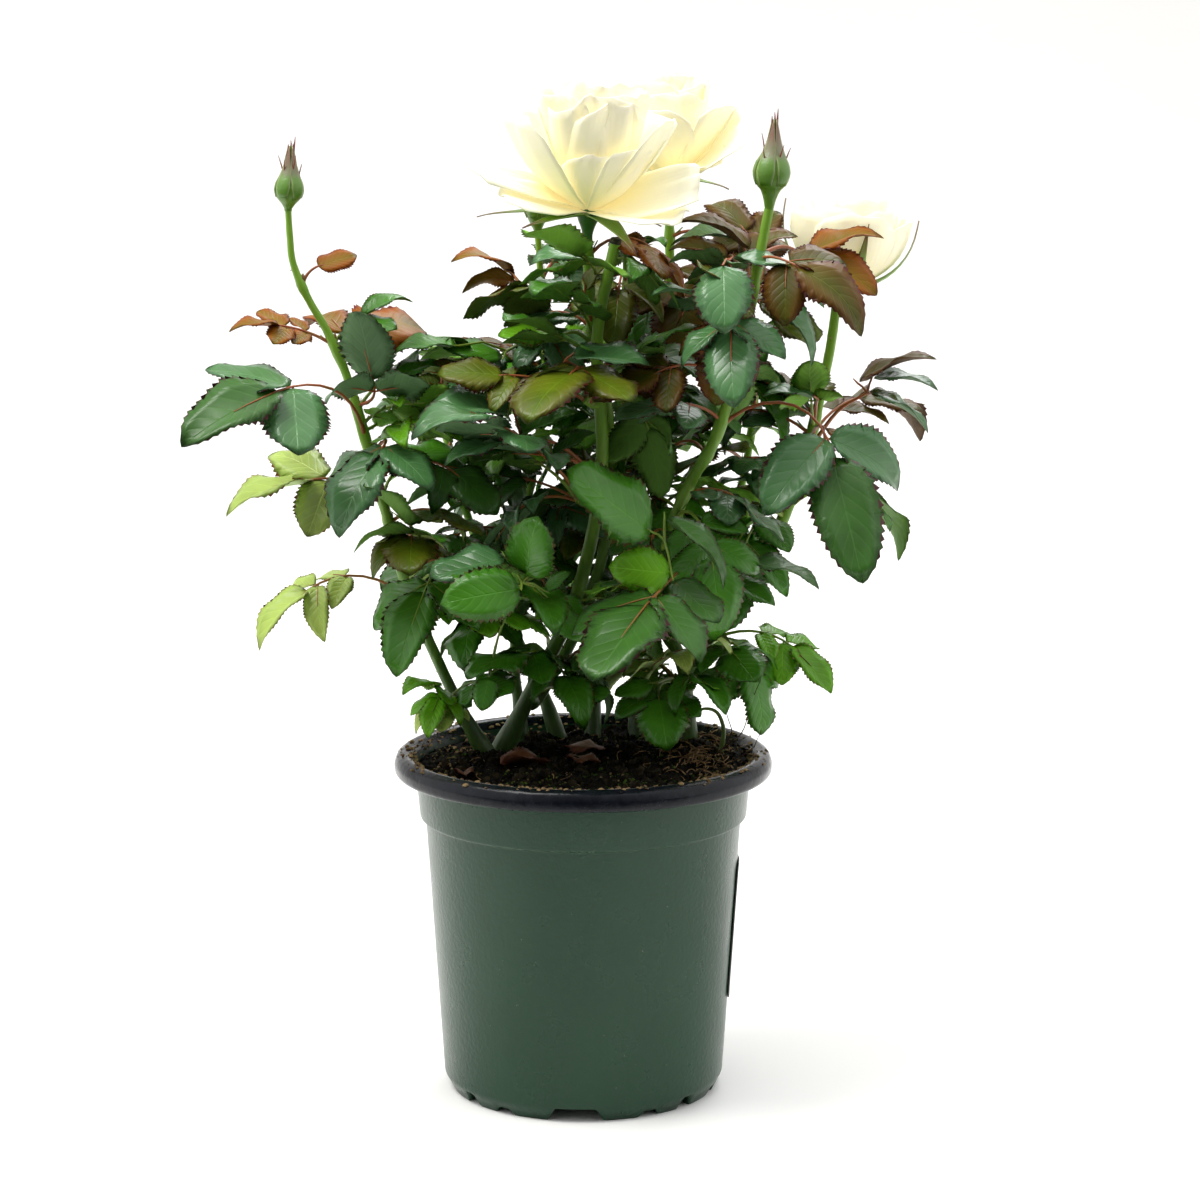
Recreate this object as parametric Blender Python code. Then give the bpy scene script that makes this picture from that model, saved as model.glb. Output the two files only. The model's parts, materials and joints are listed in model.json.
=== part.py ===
"""A potted white rose bush: ribbed nursery pot, potting mix, canes, leafy shoots, blooms and buds.

Metres, +Z up. The origin is on the pot's axis at the floor, and -Y is the front.
Limbs are smooth paths through a few named points. Compound leaves stand on them by a rule:
a stalk that bows over, a terminal leaflet and pairs of side leaflets. Leaves named in LEAVES
give the bush its own outline, and a spiral of further leaves fills it from all sides. A leaf
that would touch another node or leave the crown is skipped.
"""
import math
import random

import bmesh
import bpy
from mathutils import Matrix, Vector
from mathutils.bvhtree import BVHTree

SEED = 11
GAP = 0.0003
CLEAR = 0.0005

# Pot: half section from the foot's outer edge up the outside, over the lip and down the inside.
POT_TURNS = 40
FOOT_OUTER_R = 0.0580
FOOT_INNER_R = 0.0548
FOOT_H = 0.0066
POT_FLOOR_Z = 0.0084
WALL = 0.0013
POT_SECTION = (
    (FOOT_OUTER_R, 0.0),
    (0.0604, 0.0060),
    (0.0614, FOOT_H),
    (0.0689, 0.1208),
    (0.0713, 0.1214),
    (0.0732, 0.1412),
    (0.0742, 0.1418),
    (0.0808, 0.1402),
    (0.0823, 0.1418),
    (0.0825, 0.1452),
    (0.0812, 0.1484),
    (0.0784, 0.1500),
    (0.0755, 0.1492),
    (0.0738, 0.1466),
    (0.0722, 0.1420),
    (0.0701, 0.1226),
    (0.0676, 0.1206),
    (0.0602, POT_FLOOR_Z),
    (0.0, POT_FLOOR_Z),
    (0.0, POT_FLOOR_Z - WALL),
    (0.0578, POT_FLOOR_Z - WALL),
    (FOOT_INNER_R, 0.0),
)
# Notches through the foot ring: degrees from the middle of a wide one, width at the top and
# at the floor, and height. The pattern stands at the front and again at the back.
NOTCH_TURN = -3.0
NOTCHES = (
    (0.0, 0.0170, 0.0240, 0.0062),
    (32.0, 0.0060, 0.0090, 0.0022),
    (51.0, 0.0050, 0.0070, 0.0046),
    (74.0, 0.0050, 0.0060, 0.0026),
)

# Plain label on the right side of the pot, bowed like the wall.
LABEL_TURN = 98.0
LABEL_W = 0.040
LABEL_Z = (0.040, 0.101)
LABEL_T = 0.0008

# Potting mix: level a little under the lip and heaped at the right and the back.
SOIL_TURNS = 24
SOIL_Z = 0.1428
SOIL_EDGE_R = 0.0717
SOIL_RINGS = (0.0717, 0.060, 0.046, 0.032, 0.016)
HEAPS = (
    (0.052, 0.022, 0.026, 0.0058),
    (0.010, 0.045, 0.030, 0.0026),
    (-0.040, 0.020, 0.018, 0.0016),
    (0.020, -0.045, 0.024, 0.0012),
)

# Limbs: points from foot to tip, radius at foot and tip, the height where the bare cane ends
# and its leafy shoot begins (None for a cane that stays whole), and the cane it forks from.
LIMB_SIDES = 6
LIMBS = {
    "cut": (
        ((-0.036, 0.024, 0.144), (-0.021, 0.020, 0.176), (-0.003, 0.008, 0.216),
         (0.008, -0.006, 0.274), (0.006, -0.014, 0.330), (0.014, -0.020, 0.373)),
        0.0034, 0.0023, None, None),
    "left": (
        ((-0.043, 0.016, 0.144), (-0.056, 0.012, 0.170), (-0.074, 0.000, 0.216),
         (-0.088, -0.012, 0.270), (-0.102, -0.020, 0.322), (-0.120, -0.024, 0.359),
         (-0.123, -0.024, 0.386)),
        0.0028, 0.0013, 0.198, None),
    "right": (
        ((0.046, 0.022, 0.145), (0.044, 0.018, 0.183), (0.034, 0.012, 0.208),
         (0.041, -0.002, 0.256), (0.058, -0.012, 0.292), (0.070, -0.020, 0.344),
         (0.078, -0.022, 0.386)),
        0.0031, 0.0020, 0.196, None),
    "half": (
        ((0.044, 0.020, 0.180), (0.067, 0.034, 0.211), (0.093, 0.044, 0.255),
         (0.107, 0.046, 0.311), (0.112, 0.044, 0.346)),
        0.0024, 0.0021, 0.222, "right"),
    "bloom": (
        ((-0.025, 0.021, 0.167), (-0.006, 0.034, 0.190), (0.010, 0.030, 0.238),
         (0.012, 0.018, 0.284), (0.004, 0.000, 0.333), (0.002, -0.008, 0.374)),
        0.0026, 0.0021, 0.192, "cut"),
    "rear": (
        ((0.024, 0.050, 0.150), (0.025, 0.056, 0.188), (0.034, 0.062, 0.262),
         (0.038, 0.062, 0.332), (0.038, 0.060, 0.384)),
        0.0028, 0.0020, 0.194, None),
    "tall": (
        ((0.004, 0.052, 0.150), (0.008, 0.062, 0.204), (0.018, 0.060, 0.277),
         (0.019, 0.050, 0.321), (0.019, 0.042, 0.362)),
        0.0025, 0.0017, 0.198, None),
    "bud": (
        ((-0.028, 0.044, 0.148), (-0.031, 0.050, 0.189), (-0.025, 0.058, 0.251),
         (-0.017, 0.054, 0.306), (-0.020, 0.044, 0.372)),
        0.0024, 0.0014, 0.196, None),
    "back_left": (
        ((-0.012, 0.052, 0.149), (-0.036, 0.066, 0.201), (-0.058, 0.074, 0.259),
         (-0.068, 0.078, 0.318)),
        0.0026, 0.0012, 0.184, None),
    "back_right": (
        ((0.040, 0.048, 0.151), (0.056, 0.068, 0.201), (0.074, 0.080, 0.267),
         (0.080, 0.082, 0.330)),
        0.0026, 0.0012, 0.184, None),
}

# Masses of foliage. A shoot (spur None) is its limb's leafy upper part. A spur is a short
# twig: limb, height on it, direction in degrees, length.
SPUR_R = 0.0013
MASSES = {
    "foliage_left": ("left", None),
    "foliage_right": ("right", None),
    "foliage_half": ("half", None),
    "foliage_bloom": ("bloom", None),
    "foliage_rear": ("rear", None),
    "foliage_tall": ("tall", None),
    "foliage_bud": ("bud", None),
    "foliage_back_left": ("back_left", None),
    "foliage_back_right": ("back_right", None),
    "foliage_front": ("cut", (0.209, -120.0, 0.008)),
    "foliage_middle": ("cut", (0.258, -130.0, 0.009)),
    "foliage_top": ("cut", (0.303, -125.0, 0.007)),
    "foliage_low_left": ("left", (0.170, -115.0, 0.008)),
    "foliage_low_front": ("right", (0.176, -110.0, 0.008)),
    "foliage_low_right": ("right", (0.187, -12.0, 0.012)),
    "foliage_low_middle": ("cut", (0.188, -40.0, 0.008)),
    "foliage_low_rear": ("rear", (0.180, 60.0, 0.010)),
}

# Named leaves: height on the mass's stem, then direction, rise, droop and swing of the stalk
# in degrees, its reach, the terminal leaflet's length, the number of leaflets, and roll.
LEAVES = {
    "foliage_left": (
        (0.288, -121, 60, 73, -23, 0.071, 0.049, 3, -28),
        (0.329, -160, 33, 24, 7, 0.025, 0.022, 5, -25),
        (0.324, 62, 56, 45, -29, 0.019, 0.041, 3, 38),
        (0.354, 19, 80, 60, 0, 0.011, 0.018, 1, 30),
        (0.303, -63, 5, -60, -60, 0.022, 0.035, 3, 0),
        (0.269, -146, 16, 18, -12, 0.032, 0.040, 3, -38),
        (0.280, -77, 59, 100, -59, 0.033, 0.040, 3, 0),
        (0.292, 47, 0, -60, -7, 0.022, 0.026, 3, 0),
        (0.225, -83, 35, -4, -60, 0.048, 0.034, 3, 0),
        (0.208, -165, 65, 98, 10, 0.058, 0.032, 5, -20),
        (0.216, -72, 75, 120, -58, 0.038, 0.040, 3, 0),
    ),
    "foliage_right": (
        (0.218, -95, 34, 56, -32, 0.093, 0.049, 5, -12),
        (0.291, -38, 52, 116, -34, 0.073, 0.056, 3, 10),
        (0.329, -100, 70, 110, 10, 0.042, 0.036, 3, 0),
        (0.346, 67, 12, 30, -38, 0.022, 0.036, 3, 30),
        (0.352, 95, 24, -20, 48, 0.040, 0.028, 5, -30),
        (0.364, -53, 25, 53, 35, 0.028, 0.036, 3, 35),
    ),
    "foliage_half": (
        (0.280, 47, 43, 42, -9, 0.045, 0.038, 5, 0),
        (0.286, -97, 29, -21, 0, 0.026, 0.022, 3, 0),
        (0.234, 24, 73, 97, 4, 0.058, 0.036, 5, 0),
    ),
    "foliage_bloom": (
        (0.200, -57, 69, 104, 14, 0.030, 0.026, 3, 0),
        (0.351, -96, 30, 5, -40, 0.034, 0.040, 3, 0),
        (0.327, -107, 35, 6, -17, 0.044, 0.028, 5, 0),
        (0.309, -116, 40, 19, -20, 0.049, 0.034, 3, 0),
    ),
    "foliage_rear": (
        (0.350, -84, 40, 92, 0, 0.042, 0.036, 5, 0),
        (0.368, -25, 35, 80, 10, 0.030, 0.034, 3, 25),
    ),
    "foliage_tall": ((0.348, -112, 45, 85, 0, 0.038, 0.032, 5, 0),),
    "foliage_bud": (
        (0.334, -119, 30, -12, -26, 0.036, 0.029, 5, 0),
        (0.286, -125, 50, 29, -30, 0.063, 0.040, 5, 0),
        (0.242, -121, 16, -13, -36, 0.058, 0.038, 5, 0),
    ),
    "foliage_front": ((0.6, -108, 30, 17, -25, 0.056, 0.044, 5, 0),),
    "foliage_middle": ((0.6, -126, 41, 12, -15, 0.068, 0.044, 5, 0),),
    "foliage_top": ((0.6, -116, 71, 88, -19, 0.042, 0.046, 3, 0),),
    "foliage_low_left": ((0.6, -100, 64, 90, -9, 0.024, 0.020, 3, 0),),
    "foliage_low_front": ((0.6, -115, 27, 62, 40, 0.024, 0.029, 3, 0),),
    "foliage_low_right": (
        (0.6, -5, 40, 74, -30, 0.045, 0.027, 5, 20),
        (0.9, -50, 34, 100, 5, 0.034, 0.028, 3, 10),
    ),
}

# Further leaves by the spiral rule: mass, how many, heights (or shares of a spur) between
# which they stand, first direction, stalk reach and terminal leaflet at the foot and the tip.
SPIRAL = 137.5
FILLS = (
    ("foliage_rear", 8, (0.204, 0.340), 20, (0.056, 0.036), (0.038, 0.028)),
    ("foliage_tall", 7, (0.206, 0.340), 140, (0.054, 0.034), (0.036, 0.028)),
    ("foliage_bud", 6, (0.202, 0.350), 95, (0.054, 0.034), (0.036, 0.026)),
    ("foliage_back_left", 7, (0.192, 0.308), 100, (0.052, 0.034), (0.038, 0.028)),
    ("foliage_back_right", 8, (0.192, 0.318), 60, (0.052, 0.034), (0.038, 0.028)),
    ("foliage_bloom", 5, (0.210, 0.300), 10, (0.050, 0.040), (0.036, 0.030)),
    ("foliage_bloom", 3, (0.322, 0.364), 75, (0.038, 0.034), (0.034, 0.032)),
    ("foliage_half", 5, (0.228, 0.300), 100, (0.048, 0.036), (0.034, 0.026)),
    ("foliage_right", 5, (0.222, 0.338), 150, (0.050, 0.034), (0.036, 0.028)),
    ("foliage_right", 2, (0.335, 0.352), -160, (0.036, 0.034), (0.034, 0.032)),
    ("foliage_left", 4, (0.210, 0.300), 60, (0.048, 0.034), (0.034, 0.026)),
    ("foliage_front", 2, (0.6, 0.9), 30, (0.036, 0.036), (0.030, 0.030)),
    ("foliage_middle", 2, (0.6, 0.9), 40, (0.040, 0.040), (0.032, 0.032)),
    ("foliage_top", 1, (0.6, 0.9), 10, (0.036, 0.036), (0.030, 0.030)),
    ("foliage_low_left", 2, (0.5, 0.9), 170, (0.024, 0.024), (0.022, 0.022)),
    ("foliage_low_front", 2, (0.5, 0.9), -10, (0.026, 0.026), (0.024, 0.024)),
    ("foliage_low_right", 1, (0.5, 0.9), 60, (0.036, 0.036), (0.026, 0.026)),
    ("foliage_low_middle", 2, (0.4, 0.9), -120, (0.030, 0.030), (0.024, 0.024)),
    ("foliage_low_rear", 3, (0.3, 0.9), 60, (0.040, 0.040), (0.028, 0.028)),
)
# A leaf is tried turned by so many degrees, with its stalk cut to a share and its droop to a
# share, in this order.
TRIES = ((0, 1.0, 1.0), (16, 1.0, 1.0), (-16, 1.0, 1.0), (0, 0.75, 1.0), (0, 1.0, 0.5),
         (32, 0.85, 0.5), (-32, 0.85, 0.5), (50, 0.75, 1.0), (-50, 0.75, 0.5), (0, 0.55, 1.0),
         (90, 0.7, 0.5), (-90, 0.7, 0.5), (180, 0.7, 0.5), (130, 0.6, 0.4), (-130, 0.6, 0.4))
# The crown's half width by height, which the further leaves keep to, and how much deeper than
# wide it may be.
CROWN = ((0.158, 0.072), (0.190, 0.088), (0.240, 0.102), (0.285, 0.114), (0.330, 0.108),
         (0.362, 0.086), (0.392, 0.058))
CROWN_DEPTH = 1.14

# Leaves: widths and places are shares of the leaflet's length.
LEAF_WIDTH = 0.60
LEAF_ROWS = ((0.30, 0.50), (0.68, 0.38))
SMALL_ROWS = ((0.42, 0.52),)
LEAF_SMALL = 0.027
LEAF_MIDDLE = 0.46
LEAF_THICK = 0.018
LEAF_FOLD = 17.0
LEAF_CURL = 20.0
SIDE_ANGLE = 58.0
SIDE_DIP = 12.0
PAIR_SIZES = (0.76, 0.62, 0.50)
PAIR_STEPS = (0.17, 0.42, 0.38)
STALK_R = 0.00080
PAIR_R = 0.00090

# Blooms: the limb whose tip carries it and the axis. Each ring of petals is one scalloped
# bowl: petals, first direction, length, tilt from the axis at its foot and rim, how deep the
# rim dips between petals, and how far each second petal stands out. Then the core's radius and
# height, and the sepals: count, first direction, length, tilt at the foot and at the tip.
HIP_R = 0.0046
HIP_H = 0.0100
PETAL_THICK = 0.0008
PETAL_SPLIT = 3
BLOOM_SIDES = 8
SEPAL_WIDTH = 0.26
SEPAL_BEND = 0.55
BLOOMS = {
    "bloom_front": (
        "bloom", (0.03, -0.16, 1.0),
        ((5, -92, 0.042, 55, 92, 0.16, 8),
         (6, -56, 0.044, 38, 58, 0.14, 7),
         (5, -90, 0.045, 20, 22, 0.12, 5)),
        0.0105, 0.036, (5, -60, 0.028, 80, 100), (-172.0, 0.30, 26.0)),
    "bloom_rear": (
        "rear", (-0.05, -0.02, 1.0),
        ((5, 12, 0.045, 42, 72, 0.16, 8),
         (6, 46, 0.045, 27, 42, 0.14, 6),
         (5, 20, 0.046, 14, 12, 0.12, 4)),
        0.0100, 0.036, (5, 30, 0.022, 80, 95)),
    "bloom_half": (
        "half", (0.18, -0.04, 1.0),
        ((5, -80, 0.038, 84, -12, 0.12, 3),
         (5, -44, 0.034, 60, -18, 0.10, 2)),
        0.0090, 0.026, (5, -100, 0.035, 86, 8)),
}
# No long petal: the front bloom has one at the left, as direction, added reach and width.
NO_STRETCH = (0.0, 0.0, 1.0)

# Buds: the limb that carries it, axis, swelling as (height, radius), and the sepals' tips:
# their height, how many and how far apart.
BUDS = {
    "bud_left": (
        "left", (0.06, 0.0, 1.0),
        ((0.0, 0.0014), (0.003, 0.0032), (0.0065, 0.0036), (0.0095, 0.0058), (0.014, 0.0056),
         (0.019, 0.0030), (0.024, 0.0010)),
        0.0285, 4, 0.0016),
    "bud_right": (
        "right", (0.06, 0.0, 1.0),
        ((0.0, 0.0021), (0.004, 0.0044), (0.0075, 0.0052), (0.011, 0.0076), (0.016, 0.0078),
         (0.021, 0.0052), (0.026, 0.0028), (0.031, 0.0018)),
        0.0400, 4, 0.0022),
    "bud_rear": (
        "bud", (-0.02, 0.0, 1.0),
        ((0.0, 0.0015), (0.003, 0.0040), (0.007, 0.0044), (0.010, 0.0058), (0.015, 0.0054),
         (0.019, 0.0026)),
        0.0230, 3, 0.0012),
}

COLOURS = {
    "pot": ((0.035, 0.075, 0.052), 0.42),
    "soil": ((0.030, 0.022, 0.015), 0.95),
    "label": ((0.80, 0.80, 0.78), 0.50),
    "cane": ((0.13, 0.27, 0.05), 0.45),
    "foliage": ((0.035, 0.14, 0.035), 0.40),
    "bloom": ((0.86, 0.82, 0.62), 0.55),
    "bud": ((0.16, 0.33, 0.12), 0.50),
}


# ---- Basics ---------------------------------------------------------------------------

def clear_scene():
    for thing in list(bpy.data.objects):
        bpy.data.objects.remove(thing, do_unlink=True)


def material(kind):
    found = bpy.data.materials.get(kind)
    if found:
        return found
    colour, roughness = COLOURS[kind]
    made = bpy.data.materials.new(kind)
    made.use_nodes = True
    shader = made.node_tree.nodes["Principled BSDF"]
    shader.inputs["Base Color"].default_value = (*colour, 1.0)
    shader.inputs["Roughness"].default_value = roughness
    shader.inputs["Metallic"].default_value = 0.0
    return made


def mesh_object(name, verts, faces, kind):
    mesh = bpy.data.meshes.new(name)
    mesh.from_pydata([tuple(v) for v in verts], [], faces)
    mesh.materials.append(material(kind))
    made = bpy.data.objects.new(name, mesh)
    bpy.context.scene.collection.objects.link(made)
    return made


def direction(azimuth, rise):
    a = math.radians(azimuth)
    e = math.radians(rise)
    return Vector((math.cos(e) * math.cos(a), math.cos(e) * math.sin(a), math.sin(e)))


def upward(azimuth, rise):
    """The direction square to direction(azimuth, rise), towards more rise."""
    return direction(azimuth, rise + 90.0)


def mix(a, b, share):
    return a + (b - a) * share


def along(table, value):
    """Reads a table of (place, amount) pairs between its places."""
    if value <= table[0][0]:
        return table[0][1]
    for (x0, y0), (x1, y1) in zip(table, table[1:]):
        if value <= x1:
            return mix(y0, y1, (value - x0) / (x1 - x0))
    return table[-1][1]


# ---- Paths and tubes ------------------------------------------------------------------

def smooth_path(points, count):
    """A Catmull-Rom curve through the points, at count + 1 even steps of its parameter."""
    p = [Vector(q) for q in points]
    p = [p[0] * 2 - p[1]] + p + [p[-1] * 2 - p[-2]]
    spans = len(p) - 3
    found = []
    for i in range(count + 1):
        t = i / count * spans
        k = min(int(t), spans - 1)
        t -= k
        a, b, c, d = p[k:k + 4]
        found.append(0.5 * ((2 * b) + (c - a) * t + (2 * a - 5 * b + 4 * c - d) * t ** 2
                            + (3 * b - a - 3 * c + d) * t ** 3))
    return found


def tangents(path):
    last = len(path) - 1
    return [(path[min(i + 1, last)] - path[max(i - 1, 0)]).normalized()
            for i in range(len(path))]


def tube(path, radii, sides, level_foot=False):
    """A closed tube with flat ends. level_foot turns its first ring level."""
    headings = tangents(path)
    if level_foot:
        headings[0] = Vector((0.0, 0.0, 1.0))
    across = headings[0].orthogonal().normalized()
    verts = []
    for i, (point, heading) in enumerate(zip(path, headings)):
        if i:
            across = headings[i - 1].rotation_difference(heading) @ across
        across = (across - heading * across.dot(heading)).normalized()
        other = heading.cross(across)
        for k in range(sides):
            turn = 2 * math.pi * k / sides
            verts.append(point + radii[i] * (math.cos(turn) * across + math.sin(turn) * other))
    faces = []
    for i in range(len(path) - 1):
        for k in range(sides):
            n = (k + 1) % sides
            faces.append((i * sides + k, i * sides + n, (i + 1) * sides + n, (i + 1) * sides + k))
    faces.append(tuple(reversed(range(sides))))
    end = (len(path) - 1) * sides
    faces.append(tuple(range(end, end + sides)))
    return verts, faces


def turned(section, sides, place, heading, axis):
    """A solid turned from (height, radius) pairs. It leaves its stem along heading and then
    follows the axis."""
    neck = 0.0015
    path = [place, place + heading * neck] + [place + heading * neck + axis * (h - neck)
                                              for h, _ in section[1:]]
    return tube(path, [section[0][1]] + [r for _, r in section], sides)


def split_at(path, height):
    """The path below a height and the path above it, which starts at that height."""
    k = next(i for i in range(1, len(path)) if path[i].z > height)
    a, b = path[k - 1], path[k]
    cut = a.lerp(b, (height - a.z) / (b.z - a.z))
    return path[:k] + [cut], [cut] + path[k:], k


def on_path(path, height):
    """The point of a rising path at a height, and how far along the path it is, 0 to 1."""
    height = min(max(height, path[0].z), path[-1].z)
    for i in range(1, len(path)):
        a, b = path[i - 1], path[i]
        if b.z >= height:
            share = (height - a.z) / (b.z - a.z)
            return a.lerp(b, share), (i - 1 + share) / (len(path) - 1)
    return path[-1].copy(), 1.0


# ---- Leaves ---------------------------------------------------------------------------

def leaf_plan(start, azimuth, rise, droop, swing, reach, blade, count, roll):
    """A compound leaf: its stalk's stations and its leaflets.

    A station is a point, heading and up. Leaflets are (station, side, foot, ahead, up, length);
    a pair stands between its station and the next, and the terminal one, of side 0, at the last.
    """
    def station(share):
        point = Vector(start)
        steps = 8
        for i in range(steps):
            part = (i + 0.5) / steps * share
            point += direction(azimuth + swing * (1.6 * part - 0.8), rise - droop * part) \
                * (reach * share / steps)
        turn = azimuth + swing * (1.6 * share - 0.8)
        ahead = direction(turn, rise - droop * share)
        up = Matrix.Rotation(math.radians(roll), 3, ahead) @ upward(turn, rise - droop * share)
        return point, ahead, up

    pairs = []
    back = 0.0
    for pair in range((count - 1) // 2):
        back += PAIR_STEPS[pair] * blade
        pairs.append(1.0 - back / reach)
    lowest = 0.30
    if pairs and pairs[-1] < lowest:
        squeeze = (1.0 - lowest) / (1.0 - pairs[-1])
        pairs = [1.0 - (1.0 - share) * squeeze for share in pairs]
    half = PAIR_R / reach
    first = pairs[-1] if pairs else 1.0
    shares = [0.0, 0.5 * first] if reach * first > 0.024 else [0.0]
    for share in reversed(pairs):
        shares += [share - half, share + half]
    shares.append(1.0)
    stations = [station(share) for share in shares]
    leaflets = []
    for pair, share in enumerate(pairs):
        foot, ahead, up = station(share)
        for side in (1, -1):
            out = Matrix.Rotation(math.radians(SIDE_ANGLE * side), 3, up) @ ahead
            tilt = Matrix.Rotation(math.radians(SIDE_DIP), 3, up.cross(out))
            leaflets.append((len(shares) - 3 - 2 * pair, side, foot, tilt @ out, tilt @ up,
                             blade * PAIR_SIZES[pair]))
    leaflets.append((len(shares) - 1, 0, *stations[-1], blade))
    return stations, leaflets


def leaf_rows(length):
    return SMALL_ROWS if length < LEAF_SMALL else LEAF_ROWS


def blade_points(foot, ahead, up, length):
    """A folded, drooping leaflet: its left and right edges, its tip and its midrib's faces."""
    left = up.cross(ahead).normalized()
    fold = math.radians(LEAF_FOLD)

    def spine(share):
        bend = math.radians(LEAF_CURL) * share * share
        return foot + ahead * (length * share) - up * (length * share * math.tan(bend) * 0.5)

    edges = []
    for side in (1, -1):
        for share, amount in leaf_rows(length):
            out = LEAF_WIDTH * length * amount
            edges.append(spine(share) + left * (side * out * math.cos(fold))
                         + up * (out * math.sin(fold)))
    half = up * (LEAF_THICK * length / 2)
    return edges + [spine(1.0), spine(LEAF_MIDDLE) + half, spine(LEAF_MIDDLE) - half]


def leaf_solid(plan):
    """One closed solid: a three-sided stalk whose faces carry the leaflets.

    Returns its points, its faces and how many of the faces, first in the list, are stalk.
    """
    stations, leaflets = plan
    verts = []
    for i, (point, ahead, up) in enumerate(stations):
        r = mix(STALK_R * 1.2, STALK_R * 0.7, i / (len(stations) - 1))
        left = up.cross(ahead).normalized()
        verts += [point + left * r + up * (0.4 * r), point - left * r + up * (0.4 * r),
                  point - up * r]
    taken = {(spot, side) for spot, side, *_ in leaflets}
    faces = [(0, 2, 1)]
    for i in range(len(stations) - 1):
        a, n = 3 * i, 3 * i + 3
        faces.append((a, a + 1, n + 1, n))
        if (i, 1) not in taken:
            faces.append((a + 2, a, n, n + 2))
        if (i, -1) not in taken:
            faces.append((a + 1, a + 2, n + 2, n + 1))
    stalk_faces = len(faces)
    for spot, side, *shape in leaflets:
        base = len(verts)
        rows = len(leaf_rows(shape[-1]))
        verts += blade_points(*shape)
        tip, top, under = base + 2 * rows, base + 2 * rows + 1, base + 2 * rows + 2
        left_edge = list(range(base, base + rows))
        right_edge = list(range(base + rows, tip))
        a, n = 3 * spot, 3 * spot + 3
        if side == 0:
            upper, lower = (a, a + 1), (a + 2,)
        elif side == 1:
            upper, lower = (a, n), (a + 2, n + 2)
        else:
            upper, lower = (n + 1, a + 1), (n + 2, a + 2)
        outline = right_edge + [tip] + left_edge[::-1]
        loop = list(upper) + outline
        for p, q in zip(loop, loop[1:] + loop[:1]):
            faces.append((p, q, top))
        loop = list(lower) + outline
        for p, q in zip(loop, loop[1:] + loop[:1]):
            faces.append((q, p, under))
        faces.append((upper[0], left_edge[0], lower[0]))
        faces.append((upper[-1], lower[-1], right_edge[0]))
    return verts, faces, stalk_faces


# ---- Blooms and buds ------------------------------------------------------------------

def axis_frame(axis):
    axis = Vector(axis).normalized()
    east = (Vector((1.0, 0.0, 0.0)) - axis * axis.x).normalized()
    return axis, east, axis.cross(east)


def bowl_solid(base, frame, petals, first, length, tilt_foot, tilt_rim, dip, wave, long_petal):
    """A ring of petals as one thin bowl with a scalloped rim, closed at the foot."""
    axis, east, north = frame
    turns = petals * PETAL_SPLIT
    rows = (0.0, 0.30, 0.66, 1.0)
    inner = []
    outer = []
    for k in range(turns):
        a = 2 * math.pi * k / turns
        phase = math.cos(petals * a + math.pi / PETAL_SPLIT)
        turn = a + math.radians(first)
        out = east * math.cos(turn) + north * math.sin(turn)
        reach = length * (1.0 - dip * (0.5 - 0.5 * phase))
        off = (math.degrees(turn) - long_petal[0] + 180.0) % 360.0 - 180.0
        stretch = long_petal[1] * math.exp(-(off / long_petal[2]) ** 2)
        lean = wave * math.cos(petals * a / 2 + 0.6) + 10.0 * stretch / 0.3
        column = []
        point = base + out * 0.0004
        steps = 12
        for i in range(steps + 1):
            share = i / steps
            tilt = math.radians(mix(tilt_foot, tilt_rim, share) + lean * share)
            if any(abs(share - row) < 0.5 / steps for row in rows):
                inward = axis * math.sin(tilt) - out * math.cos(tilt)
                column.append((point.copy(), inward))
            stride = axis * math.cos(tilt) + out * math.sin(tilt)
            point = point + stride * (reach * (1.0 + stretch) / steps)
        inner.append([p + n * PETAL_THICK / 2 for p, n in column[1:-1]])
        outer.append([p - n * PETAL_THICK / 2 for p, n in column[1:-1]] + [column[-1][0]])
    verts = [base + axis * PETAL_THICK / 2, base - axis * PETAL_THICK / 2]
    for k in range(turns):
        verts += inner[k] + outer[k]
    faces = []

    def at(k, layer, row):
        """layer 0 is the inside, 1 the outside; the rim is the outside's last row."""
        if row == 0:
            return layer
        if row == 3:
            layer = 1
        return 2 + (k % turns) * 5 + (row - 1 if layer == 0 else 2 + row - 1)

    for k in range(turns):
        faces.append((at(k, 0, 0), at(k, 0, 1), at(k + 1, 0, 1)))
        faces.append((at(k, 1, 0), at(k + 1, 1, 1), at(k, 1, 1)))
        for row in (1, 2):
            faces.append((at(k, 0, row), at(k, 0, row + 1), at(k + 1, 0, row + 1),
                          at(k + 1, 0, row)))
            faces.append((at(k, 1, row), at(k + 1, 1, row), at(k + 1, 1, row + 1),
                          at(k, 1, row + 1)))
    return verts, faces


def sepal_solid(base, frame, turn, length, tilt, tip_tilt):
    """A narrow blade that bends at its widest, with a three-sided foot sunk in the hip."""
    axis, east, north = frame
    a = math.radians(turn)
    out = east * math.cos(a) + north * math.sin(a)
    side = axis.cross(out)
    t = math.radians(tilt)
    ahead = axis * math.cos(t) + out * math.sin(t)
    up = axis * math.sin(t) - out * math.cos(t)
    foot = base + out * 0.001
    wide = foot + ahead * (SEPAL_BEND * length)
    half = SEPAL_WIDTH * length / 2
    t = math.radians(tip_tilt)
    tip = wide + (axis * math.cos(t) + out * math.sin(t)) * ((1.0 - SEPAL_BEND) * length)
    verts = [foot + side * half * 0.6, foot - side * half * 0.6, foot - up * 0.0012,
             wide + side * half, wide - side * half, wide - up * 0.0008, tip]
    faces = [(0, 2, 1), (0, 1, 4, 3), (0, 3, 5, 2), (1, 2, 5, 4), (3, 4, 6), (3, 6, 5), (4, 5, 6)]
    return verts, faces


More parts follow.
